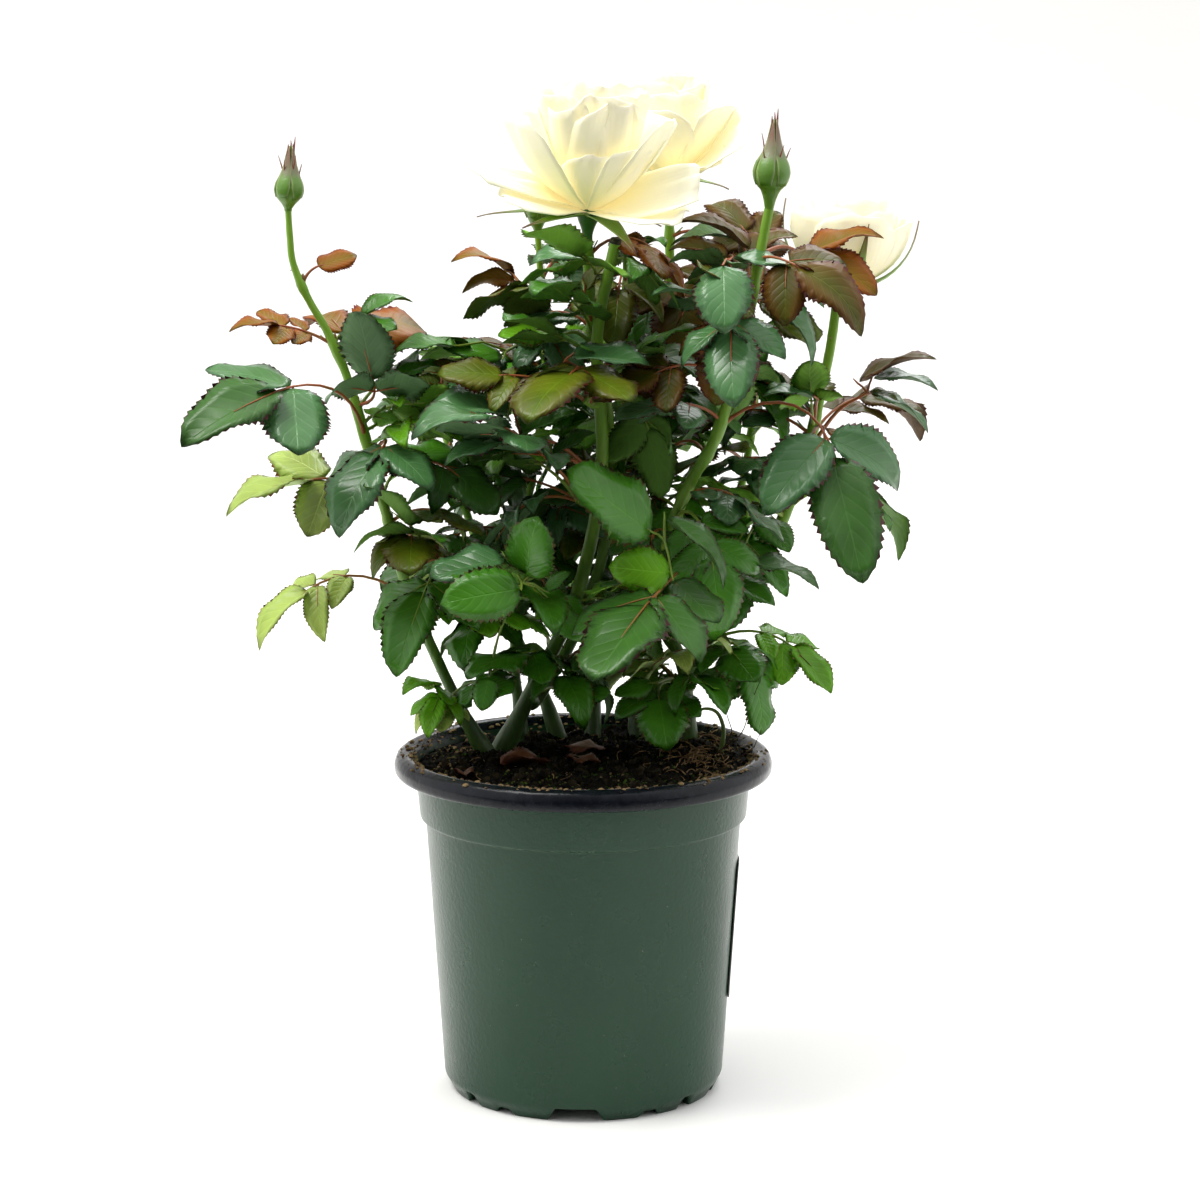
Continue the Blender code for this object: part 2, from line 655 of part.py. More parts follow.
def bloom_solids(place, heading, axis, rings, core_r, core_h, sepals,
                 long_petal=NO_STRETCH):
    frame = axis_frame(axis)
    axis = frame[0]
    base = place + axis * HIP_H
    hip = ((0.0, 0.0021), (0.35 * HIP_H, HIP_R * 0.92), (0.75 * HIP_H, HIP_R), (HIP_H, HIP_R * 0.9),
           (HIP_H + 0.30 * core_h, core_r * 0.80), (HIP_H + 0.65 * core_h, core_r),
           (HIP_H + core_h, core_r * 0.55))
    solids = [turned(hip, BLOOM_SIDES, place, heading, axis)]
    for i, ring in enumerate(rings):
        lift = axis * (0.0014 * i)
        solids.append(bowl_solid(base + lift, frame, *ring, long_petal if i == 0 else NO_STRETCH))
    count, first, *shape = sepals
    for k in range(count):
        turn = first + 360.0 * k / count
        solids.append(sepal_solid(base - axis * 0.002, frame, turn, *shape))
    return solids


def bud_solids(place, heading, axis, section, top, tips, tip_r):
    axis, east, north = axis_frame(axis)
    solids = [turned(section, 8, place, heading, axis)]
    last_h, last_r = section[-1]
    for k in range(tips):
        a = 2 * math.pi * k / tips
        out = east * math.cos(a) + north * math.sin(a)
        foot = place + axis * (last_h - 0.004) + out * (last_r * 0.5)
        tip = place + axis * (top - 0.0012 * k) + out * (tip_r + 0.001)
        solids.append(tube([foot, foot.lerp(tip, 0.5), tip], [0.0009, 0.0007, 0.0002], 3))
    return solids


# ---- Joining --------------------------------------------------------------------------

def keep_outer_shell(mesh):
    """Drops loose scraps and fills sealed hollows: only the largest shell stays."""
    shape = bmesh.new()
    shape.from_mesh(mesh)
    left = set(shape.faces)
    shells = []
    while left:
        todo = [left.pop()]
        shell = []
        while todo:
            face = todo.pop()
            shell.append(face)
            for edge in face.edges:
                for other in edge.link_faces:
                    if other in left:
                        left.remove(other)
                        todo.append(other)
        shells.append(shell)

    def extent(shell):
        points = [v.co for face in shell for v in face.verts]
        return sum(max(p[i] for p in points) - min(p[i] for p in points) for i in range(3))

    shells.sort(key=extent)
    extra = [face for shell in shells[:-1] for face in shell]
    bmesh.ops.delete(shape, geom=extra, context="FACES")
    shape.to_mesh(mesh)
    shape.free()
    return len(shells) - 1


def joined(name, solids, kind):
    """One closed solid from many that overlap."""
    first = mesh_object(name, *solids[0], kind)
    parts = bpy.data.collections.new(name + "_parts")
    for i, (verts, faces) in enumerate(solids[1:]):
        piece = mesh_object(f"{name}_{i}", verts, faces, kind)
        bpy.context.scene.collection.objects.unlink(piece)
        parts.objects.link(piece)
    bpy.context.scene.collection.children.link(parts)
    union = first.modifiers.new("union", "BOOLEAN")
    union.operation = "UNION"
    union.operand_type = "COLLECTION"
    union.collection = parts
    union.solver = "MANIFOLD"
    whole = bpy.data.meshes.new_from_object(
        first.evaluated_get(bpy.context.evaluated_depsgraph_get()))
    first.modifiers.clear()
    for piece in list(parts.objects):
        bpy.data.objects.remove(piece, do_unlink=True)
    bpy.data.collections.remove(parts)
    dropped = keep_outer_shell(whole)
    first.data = whole
    print(f"{name}: {len(solids)} solids, {dropped} shells dropped")
    return first


def tree_of(solids):
    verts = []
    faces = []
    for points, polygons in solids:
        base = len(verts)
        verts += points
        faces += [tuple(i + base for i in face) for face in polygons]
    return BVHTree.FromPolygons(verts, faces, epsilon=CLEAR)


# ---- Pot, label and mix ---------------------------------------------------------------

def spun(name, section, turns, kind):
    """A closed solid turned about Z. A point on the axis becomes one vertex."""
    verts = []
    rings = []
    for r, z in section:
        if r == 0.0:
            verts.append((0.0, 0.0, z))
            rings.append([len(verts) - 1] * turns)
            continue
        rings.append(list(range(len(verts), len(verts) + turns)))
        for k in range(turns):
            a = 2 * math.pi * k / turns
            verts.append((r * math.cos(a), r * math.sin(a), z))
    faces = []
    for a, b in zip(rings, rings[1:] + rings[:1]):
        for k in range(turns):
            n = (k + 1) % turns
            corners = []
            for corner in (a[k], a[n], b[n], b[k]):
                if corner not in corners:
                    corners.append(corner)
            if len(corners) > 2:
                faces.append(tuple(corners))
    return mesh_object(name, verts, faces, kind)


def notch_solid(turn, top_w, foot_w, height):
    """A tapered block across the foot ring, wider at the floor."""
    out = direction(turn - 90.0, 0.0)
    side = Vector((-out.y, out.x, 0.0))
    below = 0.002
    grow = (foot_w - top_w) / height
    verts = []
    for z, w in ((-below, foot_w + grow * below), (height, top_w)):
        for r, s in ((0.046, 1), (0.070, 1), (0.070, -1), (0.046, -1)):
            verts.append(out * r - side * (s * w / 2) + Vector((0.0, 0.0, z)))
    faces = [(3, 2, 1, 0), (4, 5, 6, 7), (0, 1, 5, 4), (1, 2, 6, 5), (2, 3, 7, 6), (3, 0, 4, 7)]
    return verts, faces


def make_pot():
    pot = spun("pot", POT_SECTION, POT_TURNS, "pot")
    verts = []
    faces = []
    for half in (0.0, 180.0):
        for turn, top_w, foot_w, height in NOTCHES:
            for side in ((1,) if turn == 0.0 else (1, -1)):
                points, polygons = notch_solid(
                    NOTCH_TURN + half + side * turn, top_w, foot_w, height)
                base = len(verts)
                verts += points
                faces += [tuple(i + base for i in face) for face in polygons]
    cutter = mesh_object("notch_cutter", verts, faces, "pot")
    cutter.hide_render = True
    cutter.display_type = "WIRE"
    cut = pot.modifiers.new("notches", "BOOLEAN")
    cut.operation = "DIFFERENCE"
    cut.object = cutter
    cut.solver = "EXACT"
    return pot


def make_label():
    """A plain bowed plate just outside the wall."""
    columns = 5
    verts = []
    for z in LABEL_Z:
        wall = mix(POT_SECTION[2][0], POT_SECTION[3][0],
                   (z - FOOT_H) / (POT_SECTION[3][1] - FOOT_H))
        for away in (GAP, GAP + LABEL_T):
            for c in range(columns):
                a = math.radians(LABEL_TURN - 90.0) + (c / (columns - 1) - 0.5) * LABEL_W / wall
                r = wall + away
                verts.append((r * math.cos(a), r * math.sin(a), z))
    n = columns
    faces = []
    for c in range(n - 1):
        faces.append((c + 1, c, 2 * n + c, 2 * n + c + 1))
        faces.append((n + c, n + c + 1, 3 * n + c + 1, 3 * n + c))
        faces.append((c, c + 1, n + c + 1, n + c))
        faces.append((2 * n + c + 1, 2 * n + c, 3 * n + c, 3 * n + c + 1))
    faces.append((0, n, 3 * n, 2 * n))
    faces.append((2 * n - 1, n - 1, 3 * n - 1, 4 * n - 1))
    return mesh_object("label", verts, faces, "label")


def soil_height(x, y):
    heap = sum(h * math.exp(-((x - cx) ** 2 + (y - cy) ** 2) / (2 * r * r) * 2)
               for cx, cy, r, h in HEAPS)
    return SOIL_Z + heap


def make_soil():
    """Fills the pot 0.3 mm clear of it, under a heaped top."""
    verts = []
    rings = []

    def ring(r, height):
        rings.append(list(range(len(verts), len(verts) + SOIL_TURNS)))
        for k in range(SOIL_TURNS):
            a = 2 * math.pi * k / SOIL_TURNS
            x = r * math.cos(a)
            y = r * math.sin(a)
            verts.append((x, y, height if height is not None else soil_height(x, y)))

    ring(0.0596, POT_FLOOR_Z + GAP)
    ring(0.0670, 0.1203)
    ring(0.0694, 0.1232)
    ring(0.0714, 0.1400)
    for r in SOIL_RINGS:
        ring(r, None)
    faces = [tuple(reversed(rings[0]))]
    for a, b in zip(rings, rings[1:]):
        for k in range(SOIL_TURNS):
            n = (k + 1) % SOIL_TURNS
            faces.append((a[k], a[n], b[n], b[k]))
    verts.append((0.0, 0.0, soil_height(0.0, 0.0)))
    top = len(verts) - 1
    for k in range(SOIL_TURNS):
        faces.append((rings[-1][k], rings[-1][(k + 1) % SOIL_TURNS], top))
    return mesh_object("soil", verts, faces, "soil"), (verts, faces)


# ---- Limbs ----------------------------------------------------------------------------

def limb_paths(ground):
    """Each limb's smooth path, standing on the mix or clear of the cane it forks from."""
    paths = {}
    for name, (points, foot_r, tip_r, bare_to, parent) in LIMBS.items():
        path = smooth_path(points, 14)
        if parent is None:
            spot = path[0]
            heights = []
            for k in range(8):
                a = math.pi * k / 4
                probe = Vector((spot.x + 1.7 * foot_r * math.cos(a),
                                spot.y + 1.7 * foot_r * math.sin(a), 1.0))
                heights.append(ground.ray_cast(probe, Vector((0.0, 0.0, -1.0)))[0].z)
            foot_z = max(heights) + GAP
            path = [Vector((spot.x, spot.y, foot_z))] + [p for p in path if p.z > foot_z + 0.006]
        else:
            joint, share = on_path(paths[parent], path[0].z)
            heading = parent_heading(paths[parent], joint.z)
            out = path[3] - joint
            out = (out - heading * out.dot(heading)).normalized()
            surface = limb_radius(parent, share) + GAP
            path = ([joint + out * surface, joint + out * (surface + 1.6 * foot_r)]
                    + [p for p in path if (p - joint).length > surface + 4.0 * foot_r])
        paths[name] = path
    return paths


def parent_heading(path, height):
    below = on_path(path, height - 0.003)[0]
    above = on_path(path, height + 0.003)[0]
    return (above - below).normalized()


def limb_radius(name, share):
    _, foot_r, tip_r, _, _ = LIMBS[name]
    return mix(foot_r, tip_r, share)


def limb_solids(paths):
    """The bare canes, and the stems of the leafy shoots above them."""
    canes = {}
    stems = {}
    for name, path in paths.items():
        _, foot_r, tip_r, bare_to, parent = LIMBS[name]
        count = len(path) - 1
        radii = [limb_radius(name, i / count) for i in range(count + 1)]
        if parent is None:
            radii[0] *= 1.6
        if bare_to is None:
            canes[name] = tube(path, radii, LIMB_SIDES, level_foot=parent is None)
            continue
        lower, upper, k = split_at(path, bare_to)
        cut_r = limb_radius(name, k / count)
        canes[name] = tube(lower, radii[:k] + [cut_r], LIMB_SIDES, level_foot=parent is None)
        upper[0] = upper[0] + (upper[1] - upper[0]).normalized() * GAP
        stems[name] = (upper, [cut_r] + radii[k:])
    return canes, stems


# ---- Foliage --------------------------------------------------------------------------

def spur_path(cane_path, limb, height, turn, length):
    """A short twig that leaves its cane square to it and then lifts."""
    joint, share = on_path(cane_path, height)
    heading = parent_heading(cane_path, height)
    out = direction(turn, 0.0)
    out = (out - heading * out.dot(heading)).normalized()
    surface = limb_radius(limb, share) + GAP
    start = joint + out * surface
    bent = (out + Vector((0.0, 0.0, 0.55))).normalized()
    return [start, start + out * 0.002, start + out * 0.002 + bent * (length * 0.5),
            start + out * 0.002 + bent * length]


def mass_stems(paths, stems):
    """Each mass's stem as (path, radii)."""
    found = {}
    for mass, (limb, spur) in MASSES.items():
        if spur is None:
            found[mass] = stems[limb]
        else:
            path = spur_path(paths[limb], limb, *spur)
            found[mass] = (path, [SPUR_R, SPUR_R, SPUR_R * 0.9, SPUR_R * 0.6])
    return found


def leaf_foot(mass, path, where):
    """A leaf's foot: by height on a shoot, or by its share of a spur."""
    if MASSES[mass][1] is None:
        return on_path(path, where)[0]
    spot = min(where, 0.999) * (len(path) - 1)
    k = int(spot)
    return path[k].lerp(path[k + 1], spot - k)


def inside_crown(leaflets):
    for _, _, foot, ahead, _, length in leaflets:
        tip = foot + ahead * length
        wide = math.hypot(tip.x, tip.y / CROWN_DEPTH)
        if tip.z < CROWN[0][0] or tip.z > CROWN[-1][0] or wide > along(CROWN, tip.z):
            return False
    return True


def grow(bodies, masses):
    """The leaf plans of each mass. bodies are the other nodes' solids by name."""
    fixed = {name: tree_of([solid]) for name, solid in bodies.items()}
    stem_trees = {mass: tree_of([tube(*stem, LIMB_SIDES)]) for mass, stem in masses.items()}
    grown = {mass: [] for mass in masses}
    leaf_trees = {mass: [] for mass in masses}

    def blocked(mass, whole, spread, strict):
        """The name of what a leaf would touch. A strict test counts its own mass's blades."""
        for name, other in fixed.items():
            if whole.overlap(other):
                return name
        if strict and spread.overlap(stem_trees[mass]):
            return mass
        for other in masses:
            if other != mass and whole.overlap(stem_trees[other]):
                return other + " stem"
            for leaf, leaf_spread in leaf_trees[other]:
                if other != mass and whole.overlap(leaf):
                    return other
                if other == mass and strict and spread.overlap(leaf_spread):
                    return other
        return None

    def add(mass, plan, strict):
        verts, faces, stalk_faces = leaf_solid(plan)
        whole = tree_of([(verts, faces)])
        spread = tree_of([(verts, faces[stalk_faces:])])
        touched = blocked(mass, whole, spread, strict)
        if touched is None:
            leaf_trees[mass].append((whole, spread))
            grown[mass].append(plan)
        return touched

    for mass, leaves in LEAVES.items():
        for where, turn, rise, droop, swing, reach, *shape in leaves:
            foot = leaf_foot(mass, masses[mass][0], where)
            for shift, size, dip in TRIES:
                plan = leaf_plan(foot, turn + shift, rise, droop * dip, swing, reach * size,
                                 *shape)
                touched = add(mass, plan, False)
                if not touched:
                    break
            if touched or shift or size < 1.0:
                print("named leaf:", mass, where, touched, "shift", shift, "size", size)

    rng = random.Random(SEED)
    for mass, count, (low, high), first, reaches, blades in FILLS:
        kept = 0
        for i in range(count):
            share = i / max(count - 1, 1)
            turn = first + SPIRAL * i + rng.uniform(-12, 12)
            rise = mix(34, 56, share) + rng.uniform(-9, 9)
            droop = rng.uniform(65, 115)
            swing = rng.uniform(-22, 22)
            reach = mix(*reaches, share) * rng.uniform(0.85, 1.1)
            blade = mix(*blades, share) * rng.uniform(0.96, 1.16)
            leaflets = 5 if rng.random() < 0.75 else 3
            roll = rng.uniform(-30, 30)
            foot = leaf_foot(mass, masses[mass][0], mix(low, high, share))
            for shift, size, dip in TRIES:
                plan = leaf_plan(foot, turn + shift, rise, droop * dip, swing, reach * size,
                                 blade * (0.5 + 0.5 * size), leaflets, roll)
                if inside_crown(plan[1]) and not add(mass, plan, True):
                    kept += 1
                    break
        print(mass, "further leaves:", kept, "of", count)
    return grown


def main():
    clear_scene()
    make_pot()
    make_label()
    _, soil_shape = make_soil()
    ground = BVHTree.FromPolygons(*soil_shape)
    paths = limb_paths(ground)
    canes, stems = limb_solids(paths)
    masses = mass_stems(paths, stems)
    bodies = {"cane_" + name: solid for name, solid in canes.items()}
    flowers = {}
    for makers, table, kind in ((bloom_solids, BLOOMS, "bloom"), (bud_solids, BUDS, "bud")):
        for name, (limb, *shape) in table.items():
            tip = paths[limb][-1]
            heading = (tip - paths[limb][-2]).normalized()
            flowers[name] = (makers(tip + heading * GAP, heading, *shape), kind)
    obstacles = dict(bodies)
    obstacles["soil"] = soil_shape
    for name, (solids, _) in flowers.items():
        for i, solid in enumerate(solids):
            obstacles[f"{name}_{i}"] = solid
    grown = grow(obstacles, masses)
    for name, solid in bodies.items():
        mesh_object(name, *solid, "cane")
    for name, (solids, kind) in flowers.items():
        joined(name, solids, kind)
    leaflets = 0
    for mass, plans in grown.items():
        solids = [tube(*masses[mass], LIMB_SIDES)]
        for plan in plans:
            solids.append(leaf_solid(plan)[:2])
            leaflets += len(plan[1])
        joined(mass, solids, "foliage")
    leaves = sum(len(plans) for plans in grown.values())
    print("compound leaves:", leaves, "leaflets:", leaflets)


main()
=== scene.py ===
# %% [markdown]
# # A potted white rose bush
#
# The bush stands in a nursery pot: canes, leafy shoots, two open blooms, a half-open one
# and three buds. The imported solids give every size. They load first, as a fixed frame, and the
# box they fill is kept, because the dressed plant has to stay inside it.

import json
import math
import random

import bmesh
import bpy
from mathutils import Matrix, Vector, noise
from mathutils.bvhtree import BVHTree
from mathutils.kdtree import KDTree
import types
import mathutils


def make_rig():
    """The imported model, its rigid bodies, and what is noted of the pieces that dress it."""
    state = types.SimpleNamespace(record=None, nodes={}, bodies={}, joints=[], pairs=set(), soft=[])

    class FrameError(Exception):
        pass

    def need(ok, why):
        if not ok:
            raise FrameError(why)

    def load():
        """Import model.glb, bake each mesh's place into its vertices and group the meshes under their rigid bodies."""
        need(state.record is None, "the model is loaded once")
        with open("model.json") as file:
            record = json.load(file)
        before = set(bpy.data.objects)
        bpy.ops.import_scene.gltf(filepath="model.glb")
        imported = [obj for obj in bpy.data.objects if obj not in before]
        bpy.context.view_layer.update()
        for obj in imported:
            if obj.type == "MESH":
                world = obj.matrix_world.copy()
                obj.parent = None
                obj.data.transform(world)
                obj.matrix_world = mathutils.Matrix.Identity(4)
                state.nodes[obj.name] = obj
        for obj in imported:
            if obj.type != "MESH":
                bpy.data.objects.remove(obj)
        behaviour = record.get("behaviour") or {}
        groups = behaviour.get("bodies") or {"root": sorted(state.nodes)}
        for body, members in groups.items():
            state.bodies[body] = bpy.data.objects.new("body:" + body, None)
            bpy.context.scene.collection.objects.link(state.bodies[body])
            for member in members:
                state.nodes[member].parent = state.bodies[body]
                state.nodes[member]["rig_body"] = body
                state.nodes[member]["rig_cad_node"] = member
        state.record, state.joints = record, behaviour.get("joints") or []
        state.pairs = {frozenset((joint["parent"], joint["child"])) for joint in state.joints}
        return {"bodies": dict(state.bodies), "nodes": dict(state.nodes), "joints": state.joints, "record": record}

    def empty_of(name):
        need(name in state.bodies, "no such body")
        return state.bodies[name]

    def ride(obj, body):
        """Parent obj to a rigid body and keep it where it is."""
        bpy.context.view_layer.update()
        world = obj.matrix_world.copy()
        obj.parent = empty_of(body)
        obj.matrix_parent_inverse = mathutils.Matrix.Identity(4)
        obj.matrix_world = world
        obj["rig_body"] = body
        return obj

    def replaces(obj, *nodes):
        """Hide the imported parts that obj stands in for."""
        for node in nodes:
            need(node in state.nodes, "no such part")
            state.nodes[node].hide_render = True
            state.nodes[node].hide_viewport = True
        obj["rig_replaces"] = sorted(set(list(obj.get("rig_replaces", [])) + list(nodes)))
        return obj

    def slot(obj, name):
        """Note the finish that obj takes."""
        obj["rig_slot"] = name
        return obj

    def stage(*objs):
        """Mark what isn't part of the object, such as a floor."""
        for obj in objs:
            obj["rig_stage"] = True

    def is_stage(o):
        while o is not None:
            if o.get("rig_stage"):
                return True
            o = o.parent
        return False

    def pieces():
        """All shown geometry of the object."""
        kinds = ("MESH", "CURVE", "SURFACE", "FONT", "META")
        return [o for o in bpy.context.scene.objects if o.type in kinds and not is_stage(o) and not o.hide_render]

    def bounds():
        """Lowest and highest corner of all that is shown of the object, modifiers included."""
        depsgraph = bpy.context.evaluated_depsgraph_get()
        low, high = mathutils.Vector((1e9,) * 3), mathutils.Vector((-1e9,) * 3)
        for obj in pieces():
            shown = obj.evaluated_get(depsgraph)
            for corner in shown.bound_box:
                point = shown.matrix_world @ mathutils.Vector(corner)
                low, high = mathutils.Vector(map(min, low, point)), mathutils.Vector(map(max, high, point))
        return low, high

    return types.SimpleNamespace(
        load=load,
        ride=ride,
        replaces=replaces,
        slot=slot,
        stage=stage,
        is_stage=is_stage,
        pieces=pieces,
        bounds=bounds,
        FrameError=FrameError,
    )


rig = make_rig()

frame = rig.load()
CAD_BOX = [list(corner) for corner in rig.bounds()]
NODES = frame["nodes"]
print("nodes:", len(NODES), "box:", [[round(v, 4) for v in corner] for corner in CAD_BOX])

# %% [markdown]
# A camera a metre and a half away, a little above the bush and pitched down by ten degrees,
# looks past the foliage on to the potting mix. A long lens keeps the pot's sides nearly upright.

# %% Camera
CAMERA_PLACE = (0.0073, -1.4758, 0.4744)
CAMERA_PITCH = 0.1733
CAMERA_LENS = 103.75
camera = bpy.data.objects.new("camera", bpy.data.cameras.new("camera"))
camera.data.lens = CAMERA_LENS
camera.data.sensor_width = 36.0
camera.location = CAMERA_PLACE
camera.rotation_euler = (math.pi / 2 - CAMERA_PITCH, 0.0, 0.0)
bpy.context.scene.collection.objects.link(camera)
bpy.context.scene.camera = camera
print("camera:", CAMERA_PLACE)

# %% [markdown]
# A node tree is quicker to read when each node is one call that says what feeds it. These
# helpers work for Geometry Nodes and for materials alike: a value that is a node or a socket is
# linked, and anything else is set. Where they can, they find the tree from what feeds them.

# %% Node helpers


def out(made, name=None):
    """A node's first live output, or the one of that name."""
    return next(s for s in made.outputs if s.enabled and name in (None, s.name))


def node(tree, kind, inputs=None, **settings):
    """Adds a node. inputs maps a socket's name or number to a value, a socket or a node."""
    made = tree.nodes.new(kind)
    for key, value in settings.items():
        setattr(made, key, value)
    for key, value in (inputs or {}).items():
        if isinstance(key, int):
            socket = made.inputs[key]
        else:
            socket = next(s for s in made.inputs if s.name == key and s.enabled)
        if isinstance(value, bpy.types.Node):
            value = out(value)
        if isinstance(value, bpy.types.NodeSocket):
            tree.links.new(value, socket)
        else:
            socket.default_value = value
    return made


def calc(operation, *values):
    """A Math node. The first value is a node or a socket."""
    return node(values[0].id_data, "ShaderNodeMath", dict(enumerate(values)), operation=operation)


def times(value, factor):
    return calc("MULTIPLY", value, factor)


def ranged(value, start, end, low=0.0, high=1.0):
    """Maps start..end to low..high, and keeps within them."""
    return node(value.id_data, "ShaderNodeMapRange", {
        "Value": value, "From Min": start, "From Max": end, "To Min": low, "To Max": high})


def named(tree, label, kind):
    return node(tree, "GeometryNodeInputNamedAttribute", {"Name": label}, data_type=kind)


def geometry_tree(name, sockets):
    """A Geometry Nodes tree with named inputs, and those inputs by name."""
    tree = bpy.data.node_groups.new(name, "GeometryNodeTree")
    face = tree.interface
    face.new_socket("Geometry", in_out="INPUT", socket_type="NodeSocketGeometry")
    for label, kind in sockets.items():
        face.new_socket(label, in_out="INPUT", socket_type="NodeSocket" + kind)
    face.new_socket("Geometry", in_out="OUTPUT", socket_type="NodeSocketGeometry")
    return tree, {socket.name: socket for socket in tree.nodes.new("NodeGroupInput").outputs}


def instances(tree, shapes, inputs):
    """Puts one of a collection's shapes on each point."""
    info = node(tree, "GeometryNodeCollectionInfo", {
        "Collection": shapes, "Separate Children": True, "Reset Children": True})
    return node(tree, "GeometryNodeInstanceOnPoints", {
        "Instance": info, "Pick Instance": True, **inputs})


def close_tree(tree, geometry, look, other=None):
    """Makes the shapes real, gives them their finish, and ends the tree."""
    real = node(tree, "GeometryNodeRealizeInstances", {"Geometry": geometry})
    last = node(tree, "GeometryNodeSetMaterial", {"Geometry": real, "Material": look})
    if other:
        last = node(tree, "GeometryNodeSetMaterial", {"Geometry": last, **other})
    node(tree, "NodeGroupOutput", {"Geometry": last})
    return tree


def run_tree(thing, tree, values):
    """Runs a tree on an object and leaves the result as the object's own plain mesh."""
    modifier = thing.modifiers.new(tree.name, "NODES")
    modifier.node_group = tree
    for item in tree.interface.items_tree:
        if item.in_out == "INPUT" and item.name in values:
            modifier[item.identifier] = values[item.name]
    live = thing.evaluated_get(bpy.context.evaluated_depsgraph_get())
    mesh = bpy.data.meshes.new_from_object(live)
    thing.modifiers.remove(modifier)
    thing.data = mesh
    faces = sum(len(p.vertices) - 2 for p in mesh.polygons)
    print(f"{thing.name}: {faces} triangles by '{tree.name}'")
    return thing


def mesh_object(name, verts, faces, looks=(), edges=(), picks=(), linked=True):
    """A plain mesh object at the origin. picks numbers each face's finish."""
    mesh = bpy.data.meshes.new(name)
    mesh.from_pydata([tuple(v) for v in verts], edges, faces)
    for look in looks:
        mesh.materials.append(look)
    for face, pick in zip(mesh.polygons, picks):
        face.material_index = pick
    made = bpy.data.objects.new(name, mesh)
    if linked:
        bpy.context.scene.collection.objects.link(made)
    return made


def give(mesh, label, kind, values, domain="POINT"):
    """Writes an attribute, one value for each point or face."""
    slot = "vector" if kind == "FLOAT_VECTOR" else "value"
    for item, value in zip(mesh.attributes.new(label, kind, domain).data, values):
        setattr(item, slot, value)


def mark_blade(mesh, marks):
    """Writes (across, along) marks of points as the UV map that leaf and petal finishes read."""
    layer = mesh.uv_layers.new(name="blade")
    for loop in mesh.loops:
        layer.data[loop.index].uv = marks[loop.vertex_index]
    mesh.shade_smooth()


def shape_set(name, things):
    """A collection of the shapes that a tree sets out."""
    made = bpy.data.collections.new(name)
    for thing in things:
        made.objects.link(thing)
    return made

# %% [markdown]
# Every finish is a Principled shader with a few shared ingredients: a noise on the object's own
# coordinates, a ramp that turns it into two or three near colours, and a bump. The pattern stays
# with the plant whichever side it is seen from.

# %% Material helpers


def finish(name, roughness, **constants):
    """A new material with its Principled shader. constants are the shader's plain numbers."""
    made = bpy.data.materials.new(name)
    made.use_nodes = True
    shader = made.node_tree.nodes["Principled BSDF"]
    shader.inputs["Roughness"].default_value = roughness
    for label, value in constants.items():
        shader.inputs[label.replace("_", " ")].default_value = value
    return made, made.node_tree, shader


def object_place(tree, axis):
    """One of the three object coordinates."""
    place = out(node(tree, "ShaderNodeTexCoord"), "Object")
    return out(node(tree, "ShaderNodeSeparateXYZ", {"Vector": place}), axis)


def object_noise(tree, scale, detail=3.0, stretch=(1.0, 1.0, 1.0)):
    """Noise on Object coordinates, which a Mapping node may stretch."""
    place = out(node(tree, "ShaderNodeTexCoord"), "Object")
    place = node(tree, "ShaderNodeMapping", {"Vector": place, "Scale": stretch})
    return out(node(tree, "ShaderNodeTexNoise",
                    {"Vector": place, "Scale": scale, "Detail": detail}))


def blade_place(tree):
    """How far across and along its blade a point lies, each from 0 to 1."""
    parts = node(tree, "ShaderNodeSeparateXYZ",
                 {"Vector": node(tree, "ShaderNodeUVMap", uv_map="blade")})
    return out(parts, "X"), out(parts, "Y")


def ramp(amount, stops):
    """A colour ramp with (place, (r, g, b)) stops."""
    made = node(amount.id_data, "ShaderNodeValToRGB", {"Fac": amount})
    marks = made.color_ramp.elements
    while len(marks) < len(stops):
        marks.new(0.5)
    for mark, (place, colour) in zip(marks, stops):
        mark.position = place
        mark.color = (*colour, 1.0)
    return out(made)


def blend(amount, *colours):
    """Mixes two colours, given as sockets or as (r, g, b)."""
    first, second = ((*c, 1.0) if isinstance(c, tuple) else c for c in colours)
    return node(amount.id_data, "ShaderNodeMix", {0: amount, 6: first, 7: second},
                data_type="RGBA").outputs[2]


def dress(shader, colour, height=None, distance=0.0, strength=1.0, rough=None):
    """Links a finish's base colour, its relief and its roughness."""
    tree = shader.id_data
    tree.links.new(colour, shader.inputs["Base Color"])
    if rough:
        tree.links.new(out(rough), shader.inputs["Roughness"])
    if height:
        bump = node(tree, "ShaderNodeBump",
                    {"Height": height, "Distance": distance, "Strength": strength})
        tree.links.new(out(bump), shader.inputs["Normal"])


def noise_finish(name, roughness, scale, *stops, relief=(), **constants):
    """A finish whose colour is a ramp over noise. relief is noise scale, distance, strength."""
    made, tree, shader = finish(name, roughness, **constants)
    height = (object_noise(tree, relief[0]), *relief[1:]) if relief else ()
    dress(shader, ramp(object_noise(tree, scale), stops), *height)
    return made

# %% [markdown]
# Long tables are kept as text: one row on a line, with whole numbers. A length is in millimetres,
# or in tenths of one where a table is divided by 10000.

# %% Tables as text
TENTHS = 10000


def parsed(word):
    """A table's word as an int, as a float, or as it is."""
    for kind in (int, float):
        try:
            return kind(word)
        except ValueError:
            pass
    return word


def table(text, *lengths, per=1000):
    """A text's rows of numbers and words. lengths tells the places of those divided by per."""
    rows = [[parsed(word) for word in line.split()] for line in text.strip().splitlines()]
    return [[n / per if i in lengths else n for i, n in enumerate(row)] for row in rows]


def groups(numbers, size=3, per=1000):
    """Numbers, or a line of them, divided by per, in tuples of size."""
    words = numbers.split() if isinstance(numbers, str) else numbers
    found = [float(word) / per for word in words]
    return [tuple(found[i:i + size]) for i in range(0, len(found), size)]


print("a row:", table("cane 12 0.5", 1))

